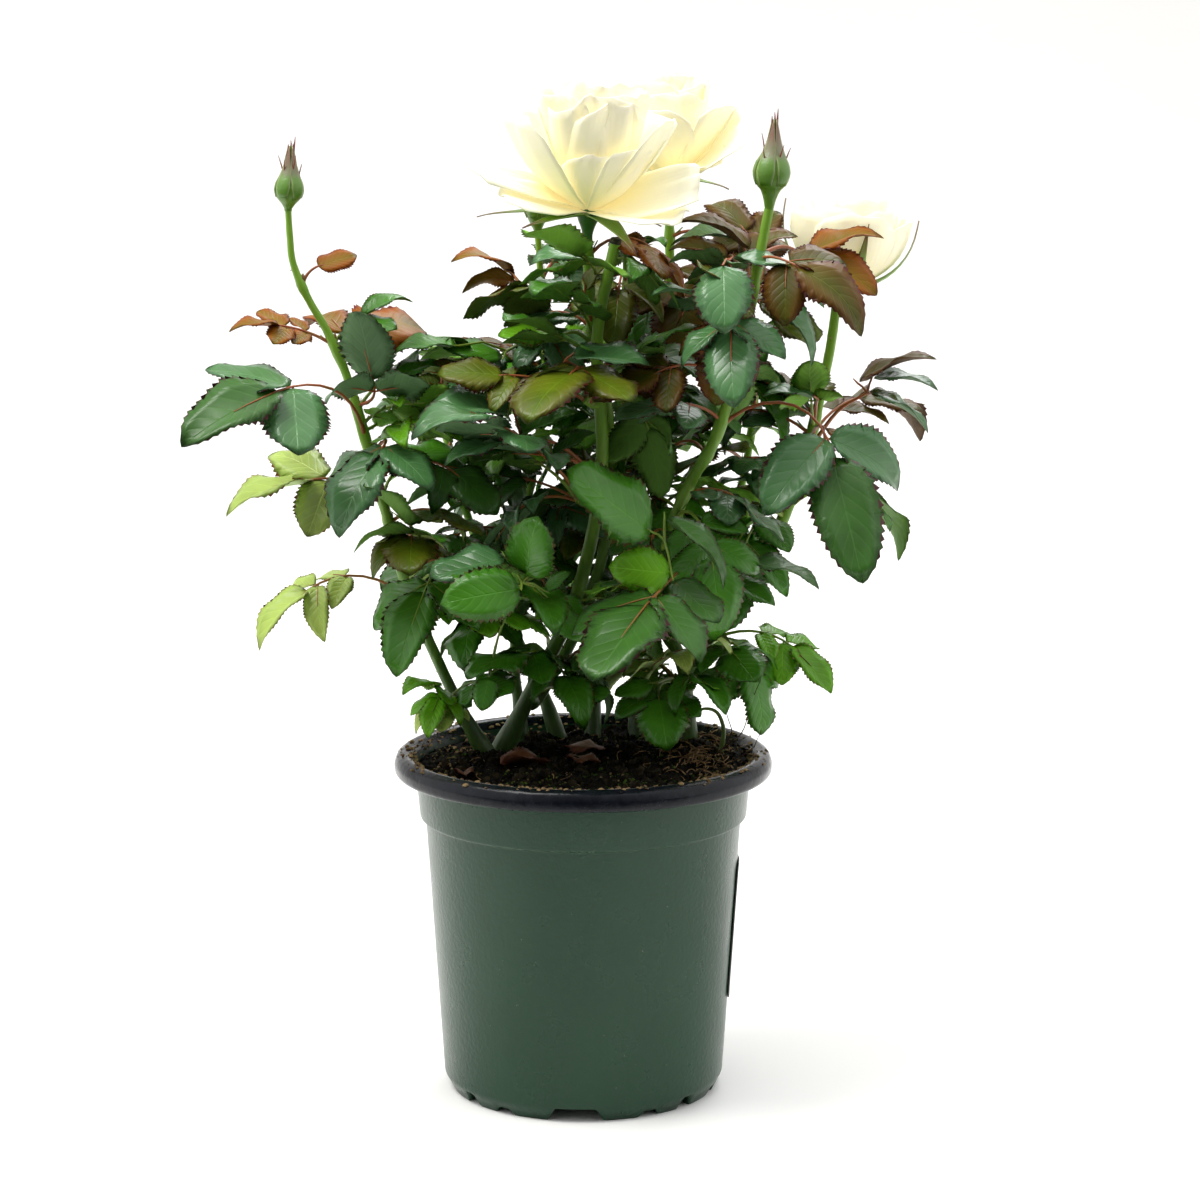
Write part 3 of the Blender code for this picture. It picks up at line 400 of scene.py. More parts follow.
# %% [markdown]
# The canes, shoots and leaves are worked out from the same named values as the solids. A limb's
# row has its name, its radius at the foot and at the tip in tenths of a millimetre, the height
# where the bare cane ends, the cane it forks from, and its points from foot to tip.

# %% Values of the limbs
SEED = 11
GAP = 0.0003
LIMBS = {name: (groups(points), foot_r, tip_r, None if bare == "-" else bare / 1000,
                None if parent == "-" else parent)
         for name, foot_r, tip_r, bare, parent, *points in table("""
cut 34 23 - -  -36 24 144  -21 20 176  -3 8 216  8 -6 274  6 -14 330  14 -20 373
left 28 13 198 - -43 16 144 -56 12 170 -74 0 216 -88 -12 270 -102 -20 322 -120 -24 359 -123 -24 386
right 31 20 196 -  46 22 145  44 18 183  34 12 208  41 -2 256  58 -12 292  70 -20 344  78 -22 386
half 24 21 222 right  44 20 180  67 34 211  93 44 255  107 46 311  112 44 346
bloom 26 21 192 cut  -25 21 167  -6 34 190  10 30 238  12 18 284  4 0 333  2 -8 374
rear 28 20 194 -  24 50 150  25 56 188  34 62 262  38 62 332  38 60 384
tall 25 17 198 -  4 52 150  8 62 204  18 60 277  19 50 321  19 42 362
bud 24 14 196 -  -28 44 148  -31 50 189  -25 58 251  -17 54 306  -20 44 372
back_left 26 12 184 -  -12 52 149  -36 66 201  -58 74 259  -68 78 318
back_right 26 12 184 -  40 48 151  56 68 201  74 80 267  80 82 330
""", 1, 2, per=TENTHS)}
print("limbs:", len(LIMBS))

# %% [markdown]
# A mass of foliage is the leafy upper part of a limb, or a short twig, the spur: its limb, its
# height there, its direction and its length. A named leaf's row has its mass and its height on
# the stem, or its thousandths of a spur. Then come the direction, rise, droop and swing of its
# stalk, its reach, the terminal leaflet's length, the number of leaflets, the roll and the tint.
# A tint may add how far the last leaflet is turned to lie level, the kind of its shape, and
# another tint for its side leaflets.

# %% Values of the named leaves
MASSES = {"foliage_" + mass: (limb, spur) for mass, limb, *spur in table("""
left left
right right
half half
bloom bloom
rear rear
tall tall
bud bud
back_left back_left
back_right back_right
front cut 209 -120 8
middle cut 258 -130 9
top cut 303 -125 7
low_left left 170 -115 8
low_front right 176 -110 8
low_right right 187 -12 12
low_middle cut 188 -40 8
low_rear rear 180 60 10
""", 2, 4)}
LEAVES = table("""
left 288 -121 60 73 -23 71 49 3 -28 deep:0:6:sea
left 329 -160 33 24 7 25 22 5 -25 bronze:0.5
left 324 62 56 45 -29 19 41 3 38 bronze
left 354 19 80 60 0 11 18 1 30 bronze
left 303 -63 5 -60 -60 22 35 3 0 sea
left 269 -146 16 18 -12 32 40 3 -38 lime:0.85:1
left 280 -77 59 100 -59 33 40 3 0 sea
left 292 47 0 -60 -7 22 26 3 0 mid
left 225 -83 35 -4 -60 48 34 3 0 mid
left 208 -165 65 98 10 58 32 5 -20 lime:0.6
left 216 -72 75 120 -58 38 40 3 0 mid
right 218 -95 34 56 -32 93 49 5 -12 deep
right 291 -38 52 116 -34 73 56 3 10 deep:0:8:sea
right 329 -100 70 110 10 42 36 3 0 sea
right 346 67 12 30 -38 22 36 3 30 olive:0.5
right 352 95 24 -20 48 40 28 5 -30 wine:0.6
right 364 -53 25 53 35 28 36 3 35 wine
half 280 47 43 42 -9 45 38 5 0 wine
half 286 -97 29 -21 0 26 22 3 0 fresh
half 234 24 73 97 4 58 36 5 0 mid
bloom 200 -57 69 104 14 30 26 3 0 fresh
bloom 351 -96 30 5 -40 34 40 3 0 fresh
bloom 327 -107 35 6 -17 44 28 5 0 mid
bloom 309 -116 40 19 -20 49 34 3 0 mid
rear 350 -84 40 92 0 42 36 5 0 wine
rear 368 -25 35 80 10 30 34 3 25 wine
tall 348 -112 45 85 0 38 32 5 0 olive
bud 334 -119 30 -12 -26 36 29 5 0 bronze
bud 286 -125 50 29 -30 63 40 5 0 mid
bud 242 -121 16 -13 -36 58 38 5 0 deep
front 600 -108 30 17 -25 56 44 5 0 mid
middle 600 -126 41 12 -15 68 44 5 0 sea
top 600 -116 71 88 -19 42 46 3 0 olive
low_left 600 -100 64 90 -9 24 20 3 0 fresh
low_front 600 -115 27 62 40 24 29 3 0 mid
low_right 600 -5 40 74 -30 45 27 5 20 fresh
low_right 900 -50 34 100 5 34 28 3 10 mid
""", 1, 6, 7)
print("masses:", len(MASSES), "named leaves:", len(LEAVES))

# %% [markdown]
# Further leaves fill each mass by a spiral: a rose sets each next leaf about 137.5 degrees round
# the stem. A row has the number of leaves, the lowest and the highest, the first direction, and
# the reaches and blades from low to high. A leaf that would touch something is tried turned,
# shorter or flatter, in the order of the tries.

# %% Values of the spiral
SPIRAL = 137.5
FILLS = table("""
rear 8 204 340 20 56 36 38 28
tall 7 206 340 140 54 34 36 28
bud 6 202 350 95 54 34 36 26
back_left 7 192 308 100 52 34 38 28
back_right 8 192 318 60 52 34 38 28
bloom 5 210 300 10 50 40 36 30
bloom 3 322 364 75 38 34 34 32
half 5 228 300 100 48 36 34 26
right 5 222 338 150 50 34 36 28
right 2 335 352 -160 36 34 34 32
left 4 210 300 60 48 34 34 26
front 2 600 900 30 36 36 30 30
middle 2 600 900 40 40 40 32 32
top 1 600 900 10 36 36 30 30
low_left 2 500 900 170 24 24 22 22
low_front 2 500 900 -10 26 26 24 24
low_right 1 500 900 60 36 36 26 26
low_middle 2 400 900 -120 30 30 24 24
low_rear 3 300 900 60 40 40 28 28
""", 2, 3, 5, 6, 7, 8)
TRIES = groups("""
0 1 1  16 1 1  -16 1 1  0 .75 1  0 1 .5  32 .85 .5  -32 .85 .5  50 .75 1  -50 .75 .5
0 .55 1  90 .7 .5  -90 .7 .5  180 .7 .5  130 .6 .4  -130 .6 .4
""", 3, 1)
# The crown's half width by height, which the further leaves keep to, and how much deeper than
# wide it may be.
CROWN = groups("158 72  190 88  240 102  285 114  330 108  362 86  392 58", 2)
CROWN_DEPTH = 1.14
LEAF_WIDTH = 0.60
LEAF_CURL = 20.0
SIDE_ANGLE = 58.0
SIDE_DIP = 12.0
PAIR_SIZES = (0.76, 0.62, 0.50)
PAIR_STEPS = (0.17, 0.42, 0.38)
STALK_R = 0.00080

# %% [markdown]
# A limb is one smooth curve through its few points. The same curve makes the solid cane and the
# cane here, so what grows on it stays attached. A cane from the pot starts on the potting mix,
# and a side cane just outside the cane that it forks from.

# %% Paths
UP = Vector((0.0, 0.0, 1.0))
DOWN = Vector((0.0, 0.0, -1.0))


def direction(azimuth, rise):
    a = math.radians(azimuth)
    e = math.radians(rise)
    return Vector((math.cos(e) * math.cos(a), math.cos(e) * math.sin(a), math.sin(e)))


def mix(a, b, share):
    return a + (b - a) * share


def turned(v, degrees, axis):
    """A vector turned about an axis."""
    return Matrix.Rotation(math.radians(degrees), 3, axis) @ v


def square_to(v, axis):
    """The direction of v that is left when it is made square to an axis."""
    return (v - axis * v.dot(axis)).normalized()


def end_way(path):
    """The direction in which a path ends."""
    return (path[-1] - path[-2]).normalized()


def along(table, value):
    """Reads a table of (place, amount) pairs between its places."""
    if value <= table[0][0]:
        return table[0][1]
    for (x0, y0), (x1, y1) in zip(table, table[1:]):
        if value <= x1:
            return mix(y0, y1, (value - x0) / (x1 - x0))
    return table[-1][1]


def smooth_path(points, count):
    """A Catmull-Rom curve through the points, at count + 1 even steps of its parameter."""
    p = [Vector(q) for q in points]
    p = [p[0] * 2 - p[1]] + p + [p[-1] * 2 - p[-2]]
    spans = len(p) - 3
    found = []
    for i in range(count + 1):
        t = i / count * spans
        k = min(int(t), spans - 1)
        t -= k
        a, b, c, d = p[k:k + 4]
        found.append(0.5 * ((2 * b) + (c - a) * t + (2 * a - 5 * b + 4 * c - d) * t ** 2
                            + (3 * b - a - 3 * c + d) * t ** 3))
    return found


def on_path(path, height):
    """The point of a rising path at a height, and how far along the path it is, 0 to 1."""
    height = min(max(height, path[0].z), path[-1].z)
    for i in range(1, len(path)):
        a, b = path[i - 1], path[i]
        if b.z >= height:
            share = (height - a.z) / (b.z - a.z)
            return a.lerp(b, share), (i - 1 + share) / (len(path) - 1)
    return path[-1].copy(), 1.0


def heading_at(path, height):
    return (on_path(path, height + 0.003)[0] - on_path(path, height - 0.003)[0]).normalized()


def limb_radius(name, share):
    return mix(LIMBS[name][1], LIMBS[name][2], share)


def tree_of(thing):
    """A search tree of a node's mesh, for rays and for nearest points."""
    mesh = thing.data
    return BVHTree.FromPolygons([v.co for v in mesh.vertices],
                                [tuple(p.vertices) for p in mesh.polygons])


MIX_LEVEL = 0.1428


def ground_height(x, y):
    hit = GROUND.ray_cast(Vector((x, y, 1.0)), DOWN)[0]
    return hit.z if hit else MIX_LEVEL


def limb_path(name):
    points, foot_r, _, _, parent = LIMBS[name]
    path = smooth_path(points, 14)
    spot = path[0]
    if parent is None:
        foot_z = GAP + max(ground_height(spot.x + 1.7 * foot_r * math.cos(math.pi * k / 4),
                                         spot.y + 1.7 * foot_r * math.sin(math.pi * k / 4))
                           for k in range(8))
        return [Vector((spot.x, spot.y, foot_z))] + [p for p in path if p.z > foot_z + 0.006]
    joint, share = on_path(PATHS[parent], spot.z)
    away = square_to(path[3] - joint, heading_at(PATHS[parent], joint.z))
    surface = limb_radius(parent, share) + GAP
    return ([joint + away * surface, joint + away * (surface + 1.6 * foot_r)]
            + [p for p in path if (p - joint).length > surface + 4.0 * foot_r])


GROUND = tree_of(NODES["soil"])
PATHS = {}
for name in LIMBS:
    PATHS[name] = limb_path(name)
print("longest limb:", max(PATHS, key=lambda n: PATHS[n][-1].z - PATHS[n][0].z))

# %% [markdown]
# Each mass stands on a stem: the upper part of its limb, or a spur, a short twig that leaves its
# cane square to it and then lifts.

# %% Stems of the masses
SPUR_RISE = 0.55


def spur_path(limb, height, turn, length):
    joint, share = on_path(PATHS[limb], height)
    away = square_to(direction(turn, 0.0), heading_at(PATHS[limb], height))
    start = joint + away * (limb_radius(limb, share) + GAP)
    knee = start + away * 0.002
    bent = (away + UP * SPUR_RISE).normalized()
    return [start, knee, knee + bent * (length * 0.5), knee + bent * length]


def shoot_path(limb, height):
    path = PATHS[limb]
    k = next(i for i in range(1, len(path)) if path[i].z > height)
    cut = path[k - 1].lerp(path[k], (height - path[k - 1].z) / (path[k].z - path[k - 1].z))
    upper = [cut] + path[k:]
    upper[0] = upper[0] + (upper[1] - upper[0]).normalized() * GAP
    return upper


STEMS = {mass: spur_path(limb, *spur) if spur else shoot_path(limb, LIMBS[limb][3])
         for mass, (limb, spur) in MASSES.items()}


def leaf_foot(mass, where):
    """A leaf's foot: by height on a shoot, or by its share of a spur."""
    path = STEMS[mass]
    if not MASSES[mass][1]:
        return on_path(path, where)[0]
    spot = min(where, 0.999) * (len(path) - 1)
    k = int(spot)
    return path[k].lerp(path[k + 1], spot - k)


print("stems:", len(STEMS))

# %% [markdown]
# A rose leaf is compound: a stalk that bows over, a terminal leaflet and pairs of side leaflets.
# The plan below gives the stalk's line and, for each leaflet, its foot, the way it points, its
# upper side and its length.

# %% A compound leaf


def leaf_station(leaf, share):
    """The stalk's point, heading and upper side at a share of its length."""
    start, azimuth, rise, droop, swing, reach, _, _, roll = leaf
    point = Vector(start)
    steps = 8
    for i in range(steps):
        part = (i + 0.5) / steps * share
        point += direction(azimuth + swing * (1.6 * part - 0.8), rise - droop * part) \
            * (reach * share / steps)
    turn = azimuth + swing * (1.6 * share - 0.8)
    ahead = direction(turn, rise - droop * share)
    return point, ahead, turned(direction(turn, rise - droop * share + 90), roll, ahead)


def leaf_plan(leaf):
    """The leaf's leaflets as (foot, ahead, up, length, share of the stalk)."""
    reach, blade, count = leaf[5:8]
    pairs = []
    back = 0.0
    for pair in range((count - 1) // 2):
        back += PAIR_STEPS[pair] * blade
        pairs.append(1.0 - back / reach)
    lowest = 0.30
    if pairs and pairs[-1] < lowest:
        squeeze = (1.0 - lowest) / (1.0 - pairs[-1])
        pairs = [1.0 - (1.0 - share) * squeeze for share in pairs]
    leaflets = []
    for pair, share in enumerate(pairs):
        foot, ahead, up = leaf_station(leaf, share)
        for side in (1, -1):
            away = turned(ahead, SIDE_ANGLE * side, up)
            dip = up.cross(away)
            leaflets.append((foot, turned(away, SIDE_DIP, dip), turned(up, SIDE_DIP, dip),
                             blade * PAIR_SIZES[pair], share))
    leaflets.append((*leaf_station(leaf, 1.0), blade, 1.0))
    return leaflets


def leaflet_tip(foot, ahead, up, length, _=1.0):
    drop = math.tan(math.radians(LEAF_CURL)) * 0.5
    return foot + ahead * length - up * (length * drop)


# %% [markdown]
# The solids were tried one by one for room. Here the try that was kept is found again by its
# terminal leaflet's tip, which is a corner of the mass's solid. So every leaf of the source is
# here in its place, with no test repeated.

# %% Leaves of the source
MATCH = 0.00005


def kept_leaf(corners, mass, where, turn, rise, droop, swing, reach, blade, count, roll, shrink):
    foot = leaf_foot(mass, where)
    for shift, size, dip in TRIES:
        length = blade * (0.5 + 0.5 * size) if shrink else blade
        leaf = (foot, turn + shift, rise, droop * dip, swing, reach * size, length, count, roll)
        tip = leaflet_tip(*leaf_plan(leaf)[-1])
        if corners.find(tip)[2] < MATCH:
            return leaf
    return None


def corner_tree(thing):
    tree = KDTree(len(thing.data.vertices))
    for v in thing.data.vertices:
        tree.insert(v.co, v.index)
    tree.balance()
    return tree


CORNERS = {mass: corner_tree(NODES[mass]) for mass in MASSES}
GROWN = []
for mass, *values, look in LEAVES:
    mass = "foliage_" + mass
    GROWN.append((mass, kept_leaf(CORNERS[mass], mass, *values, False), look))
rng = random.Random(SEED)
for mass, count, low, high, first, *sizes in FILLS:
    mass = "foliage_" + mass
    for i in range(count):
        share = i / max(count - 1, 1)
        turn = first + SPIRAL * i + rng.uniform(-12, 12)
        rise = mix(34, 56, share) + rng.uniform(-9, 9)
        droop = rng.uniform(65, 115)
        swing = rng.uniform(-22, 22)
        reach = mix(*sizes[:2], share) * rng.uniform(0.85, 1.1)
        blade = mix(*sizes[2:], share) * rng.uniform(0.96, 1.16)
        number = 5 if rng.random() < 0.75 else 3
        roll = rng.uniform(-30, 30)
        found = kept_leaf(CORNERS[mass], mass, mix(low, high, share), turn, rise, droop, swing,
                          reach, blade, number, roll, True)
        GROWN.append((mass, found, None))
lost = [mass for mass, found, look in GROWN if found is None and look]
GROWN = [entry for entry in GROWN if entry[1] is not None]
print("leaves of the source:", len(GROWN), "named leaves not found:", lost)


# %% [markdown]
# The solids carry few, large leaves, and the real bush has many more. A leaf that is added may
# not cut another leaf, a bloom, a bud or a cane. Search trees answer that fast: flat diamonds
# stand for leaflets, and the solids' own meshes for the rest.

# %% What a new leaf may not cut
FINE_FLOOR = 0.160


def leaf_sheet(plan):
    """Leaflets as flat diamonds, from (foot, ahead, up, length) of each."""
    verts = []
    faces = []
    for foot, ahead, up, length in plan:
        left = up.cross(ahead) * (LEAF_WIDTH * length * 0.46)
        middle = foot + ahead * (length * 0.45)
        base = len(verts)
        verts += [foot + ahead * 0.001, middle + left, leaflet_tip(foot, ahead, up, length),
                  middle - left]
        faces += [(base, base + 1, base + 2), (base, base + 2, base + 3)]
    return BVHTree.FromPolygons(verts, faces)


def is_free(sheet):
    return not any(sheet.overlap(other) for other in SHEETS + SOLID)


def nearest(trees, point):
    return min((tree.find_nearest(point)[3] or 1.0) for tree in trees)


def in_crown(plan):
    for foot, ahead, _, length in plan:
        tip = foot + ahead * length
        wide = math.hypot(tip.x, tip.y / CROWN_DEPTH)
        if tip.z < FINE_FLOOR or tip.z > CROWN[-1][0] or wide > along(CROWN, tip.z):
            return False
    return True


def view_strip(limb, low, high):
    """A strip from a stretch of a limb towards the eye."""
    verts = []
    for i in range(7):
        spot = on_path(PATHS[limb], mix(low, high, i / 6))[0]
        toward = (Vector(CAMERA_PLACE) - spot).normalized()
        verts += [spot + toward * 0.004, spot + toward * 0.090]
    return BVHTree.FromPolygons(verts, [(k, k + 1, k + 3, k + 2) for k in range(0, 12, 2)])


def plain_plan(leaf):
    return [leaflet[:4] for leaflet in leaf_plan(leaf)]


LEAFY = [tree_of(NODES[mass]) for mass in MASSES]
SOLID = [tree_of(thing) for name, thing in NODES.items()
         if name.startswith(("cane", "bloom", "bud", "soil"))]
SHEETS = [leaf_sheet(plain_plan(leaf)) for _, leaf, _ in GROWN]
# Stretches of cane that stay in plain view: no finer leaf may cross their strips.
IN_VIEW = [view_strip(*row) for row in (("cut", 0.285, 0.371), ("right", 0.262, 0.352),
                                        ("left", 0.290, 0.385), ("half", 0.300, 0.345),
                                        ("bloom", 0.340, 0.372))]
print("leaves to keep clear of:", len(SHEETS))

# %% [markdown]
# Chance can not match the leaves nearest to the eye, so these are listed one by one. A row that
# names a limb gives the height where the stalk leaves it and the joint where the leaflets meet.
# Then come its leaflets: tint, foot, tip, how openly it faces forward in hundredths, and shape.
# One that would cut a leaf moves aside by a few millimetres, and one that never fits is dropped.

# %% Leaflets listed one by one
SHOWN = table("""
right 329 61 -34 365
  sea 58 -36 365 58 -60 344 100 5
  sea 57 -36 365 23 -42 347 24 1
  sea 62 -34 366 99 -36 363 29 1
  wine 61 -32 365 39 -30 376 59 3
right 348 69 -10 366
  sea 67 -4 373 38 2 377 40 1
  wine 71 -14 368 46 -14 389 32 3
  wine 66 -6 365 89 0 379 59 1
right 353 76 -14 352
  sea 75 -18 351 104 -24 330 52 3
  mid 81 -8 354 104 -8 349 49 1
  mid 76 -12 353 88 -14 349 50 0
right 367 95 0 365
  bronze 96 2 366 126 8 380 45 1
  bronze 98 0 366 126 -8 353 81 0
  bronze 95 2 365 88 4 367 71 0
half 274 124 28 303
  wine 120 30 307 149 28 326 17 1
  sea 126 30 309 154 26 312 26 1
  sea 125 28 303 153 22 294 22 1
  olive 124 28 303 137 26 303 49 1
half 287 102 20 301
  olive 101 18 302 101 40 311 100 5
  sea 101 18 302 80 14 309 26 1
half 276 104 14 290
  bronze 104 12 290 125 4 273 33 1
  fresh 104 -8 278 85 -14 271 97 2
bloom 333 1 -14 350
  sea 0 -14 351 -21 -20 355 53 4
  olive 1 -14 351 7 -18 364 62 1
bloom 326 -10 -22 333
  fresh -12 -24 334 -35 -28 335 57 2
cut 301 -7 -36 324
  lime -13 -40 325 -41 -58 302 31 7
  olive -9 -38 320 -19 -48 303 95 2
  sea -5 -38 326 27 -46 327 50 6
cut 269 -26 -32 291
  sea -29 -32 302 -66 -42 310 53 1
  sea -26 -34 291 -58 -44 289 47 1
  mid -27 -32 292 -4 -38 305 50 6
cut 267 -13 -30 282
  deep -13 -32 283 3 -36 295 47 6
  fresh -11 -30 283 -25 -32 288 73 2
bud 315 -33 12 323
  mid -53 0 327 -80 -6 331 36 1
  mid -34 10 321 -59 4 328 55 2
  wine -46 2 310 -62 -2 321 54 6
  sea -34 6 321 -45 -2 309 75 4
right 214 34 -56 251
  mid 29 -60 255 -5 -74 283 79 4
  fresh 37 -62 238 13 -70 242 100 5
  deep 39 -60 247 55 -80 192 61 8
  deep 34 -56 260 65 -64 243 37 3
cut 209 -25 -60 234
  mid -25 -62 234 -56 -74 231 99 0
  sea -32 -56 244 -63 -64 238 67 4
  mid -23 -60 236 -22 -80 260 87 5
  mid -14 -50 225 0 -58 210 73 2
  mid -16 -52 229 -7 -54 238 65 0
right 196 32 -18 208
  mid 32 -18 208 12 -34 207 100 5
right 172 32 -8 181
  mid 31 -8 181 14 -12 178 63 2
cut 167 -3 -8 176
  mid -2 -8 176 11 -12 179 73 2
  olive -2 -6 191 4 -8 197 95 5
cut 181 -40 -16 187
  mid -40 -18 188 -43 -24 175 100 2
  bronze -36 -4 203 -45 -6 205 100 2
  fresh -33 -10 213 -23 -14 209 84 2
half 211 65 -18 231
  deep 70 -22 236 101 -28 234 31 1
  mid 60 -22 229 82 -28 221 67 6
""")
FACING = Vector((0.0, -0.985, 0.17))
DODGES = (0.0, -0.003, 0.003, -0.006, 0.006, -0.010, 0.010, -0.014)


def hand_plan(foot, tip, openly):
    """A leaflet from its two ends. It faces forward when openly is 1, and up when it is 0."""
    ahead = (tip - foot).normalized()
    face = square_to(FACING, ahead)
    side = ahead.cross(face)
    side = side if side.z > 0.0 else -side
    up = face * openly + side * math.sqrt(1.0 - openly * openly)
    return foot, ahead, up, (tip - foot).length


def free_plan(foot, tip, openly):
    """The plan and the sheet of the first try that cuts nothing."""
    for dodge in DODGES:
        shift = Vector((0.0, dodge, 0.0))
        plan = hand_plan(Vector(foot) * 0.001 + shift, Vector(tip) * 0.001 + shift, openly)
        sheet = leaf_sheet([plan])
        if is_free(sheet):
            return plan, sheet
    return None


SHOWN_SPOTS = []
SHOWN_STALKS = []
starts = [i for i, row in enumerate(SHOWN) if row[0] in LIMBS]
for first, last in zip(starts, starts[1:] + [len(SHOWN)]):
    limb, height, *joint = SHOWN[first]
    kept = []
    for tint, *ends, openly, shape in SHOWN[first + 1:last]:
        found = free_plan(ends[:3], ends[3:], openly / 100)
        if found:
            kept.append((tint, *found, shape))
    if kept:
        SHEETS += [sheet for _, _, sheet, _ in kept]
        SHOWN_SPOTS += [(tint, plan, shape) for tint, plan, _, shape in kept]
        SHOWN_STALKS.append((kept[0][0], on_path(PATHS[limb], height * 0.001)[0],
                             Vector(joint) * 0.001, [plan[0] for _, plan, _, _ in kept]))
print("set by hand:", len(SHOWN_SPOTS), "of", len(SHOWN) - len(starts))

# %% [markdown]
# The same spiral then sets smaller leaves between the others. One is kept when it stays inside
# the crown, is close to leaves that the solids have, and cuts nothing.

# %% Finer leaves
FINE_TURN = 71.0
FINE_NEAR = 0.016
FINE = table("""
rear 11 205 372
tall 9 205 350
bud 9 205 345
back_left 13 190 312
back_right 10 190 324
bloom 8 205 364
half 7 226 306
right 8 215 362
left 13 204 344
front 4 400 950
middle 4 400 950
top 3 400 950
low_left 4 400 950
low_front 4 400 950
low_right 3 400 950
low_middle 4 400 950
low_rear 4 300 950
""", 2, 3)
rng = random.Random(SEED + 1)
for mass, count, low, high in FINE:
    mass = "foliage_" + mass
    for i in range(count):
        share = (i + 0.5) / count
        foot = leaf_foot(mass, mix(low, high, share) + rng.uniform(-0.002, 0.002))
        turn = FINE_TURN + SPIRAL * i + rng.uniform(-15, 15)
        rise = mix(30, 58, share) + rng.uniform(-10, 10)
        droop = rng.uniform(50, 110)
        swing = rng.uniform(-25, 25)
        reach = mix(0.046, 0.030, share) * rng.uniform(0.75, 1.1)
        blade = mix(0.034, 0.028, share) * rng.uniform(0.8, 1.15)
        number = 5 if rng.random() < 0.7 else 3
        roll = rng.uniform(-35, 35)
        for shift, size, dip in TRIES:
            leaf = (foot, turn + shift, rise, droop * dip, swing, reach * size,
                    blade * (0.6 + 0.4 * size), number, roll)
            plan = plain_plan(leaf)
            if not in_crown(plan):
                continue
            if max(nearest(LEAFY, leaflet_tip(*leaflet)) for leaflet in plan) > FINE_NEAR:
                continue
            sheet = leaf_sheet(plan)
            if not is_free(sheet) or any(sheet.overlap(strip) for strip in IN_VIEW):
                continue
            SHEETS.append(sheet)
            GROWN.append((mass, leaf, None))
            break
print("leaves in all:", len(GROWN), "leaflets:",
      sum(len(leaf_plan(leaf)) for _, leaf, _ in GROWN))

# %% [markdown]
# A rose leaflet is an oval that folds a little along its midrib and bends down to its tip, with
# sharp teeth that point forward. It could be a flat card with a drawn outline, but only real
# teeth show against the light. So it is a thin closed mesh: a midrib, a row half way out on each
# side, and a toothed edge that the upper and under sides share.

# %% The leaflet's shape
ROWS = 8
LEAFLET_HALF = 0.5
EDGE_VALLEY = 0.945
EDGE_TOOTH = 1.065
EDGE = ((0.0, EDGE_VALLEY), (0.36, EDGE_TOOTH), (0.5, EDGE_VALLEY), (0.88, EDGE_TOOTH))


def leaflet_width(along_it):
    """Half width as a share of the widest, from the foot (0) to the tip (1)."""
    widest = 0.42 ** 0.50 * 0.58 ** 0.69
    return (max(along_it, 0.0) ** 0.50) * (max(1.0 - along_it, 0.0) ** 0.69) / widest


def leaflet_mesh(name, width, fold, curl, wave, skew, phase):
    """One leaflet, a metre long, with its foot at the origin, pointing along +Y, upper side +Z."""
    steps = [(i / ROWS) ** 1.1 for i in range(ROWS + 1)]
    verts = []
    marks = []

    def add(v, x, lift=0.0, mark=None):
        half = LEAFLET_HALF * width * leaflet_width(v) * x
        down = v * math.tan(math.radians(curl) * v * v) * 0.5
        rise = abs(half) * math.sin(math.radians(fold)) - 0.5 * half * half / width
        ripple = wave * math.sin(2 * math.pi * (1.6 * v + phase)) * x * abs(x) * leaflet_width(v)
        verts.append((half * math.cos(math.radians(fold)) + skew * v * (1.0 - v) * 0.5,
                      v - 0.1 * down, rise + ripple - down + lift))
        marks.append((0.5 + 0.5 * (x if mark is None else mark), v))
        return len(verts) - 1

    def row(x, first, last=None):
        """A row of points from the foot to the tip, lifted by first, and by last at the tip."""
        return [0] + [add(v, x, first if last is None else -mix(first, last, v))
                      for v in steps[1:-1]] + [1]

    add(0.0, 0.0)
    add(1.0, 0.0)
    mids = (row(0.0, -0.010), row(0.0, 0.040, 0.018))
    faces = []
    under = []
    for side in (1, -1):
        inners = (row(0.52 * side, 0.004), row(0.52 * side, -0.014))
        edge = []
        for a, b in zip(steps, steps[1:]):
            for part, mark in EDGE:
                v = mix(a, b, part)
                edge.append(add(v, mark * side, 0.0, side) if v > 0.0 else 0)
        edge.append(1)
        for i in range(ROWS):
            start, tooth, valley, last, after = edge[4 * i:4 * i + 5]
            for is_under, mid, inner in zip((False, True), mids, inners):
                near, far = inner[i], inner[i + 1]
                for loop in ((mid[i], near, far, mid[i + 1]), (near, start, tooth),
                             (near, tooth, valley, far), (far, valley, last, after)):
                    clean = list(dict.fromkeys(loop))
                    if len(clean) > 2:
                        faces.append(clean[::-1] if (side == 1) == is_under else clean)
                        under.append(is_under)
    made = mesh_object(name, verts, faces, linked=False)
    mark_blade(made.data, marks)
    give(made.data, "under", "BOOLEAN", under, "FACE")
    return made


# Width, fold and curl in degrees, wave, lean to one side, and phase of the wave.
LEAFLET_KINDS = table("""
0.72 14 22 0.03 0.04 0.0
0.66 24 30 0.05 -0.05 0.3
0.78 9 12 0.04 0.06 0.6
0.62 32 38 0.03 0.00 0.1
0.74 18 4 0.06 -0.04 0.8
0.80 6 26 0.07 0.03 0.45
0.68 28 16 0.04 0.05 0.7
0.70 16 46 0.05 -0.03 0.2
0.55 20 10 0.03 0.03 0.3
""")
USUAL_KINDS = 8
SHAPES = shape_set("leaflet_shapes", [leaflet_mesh(f"leaflet_{i}", *kind)
                                      for i, kind in enumerate(LEAFLET_KINDS)])
print("leaflet shapes:", len(SHAPES.objects), "faces each:", len(SHAPES.objects[0].data.polygons))

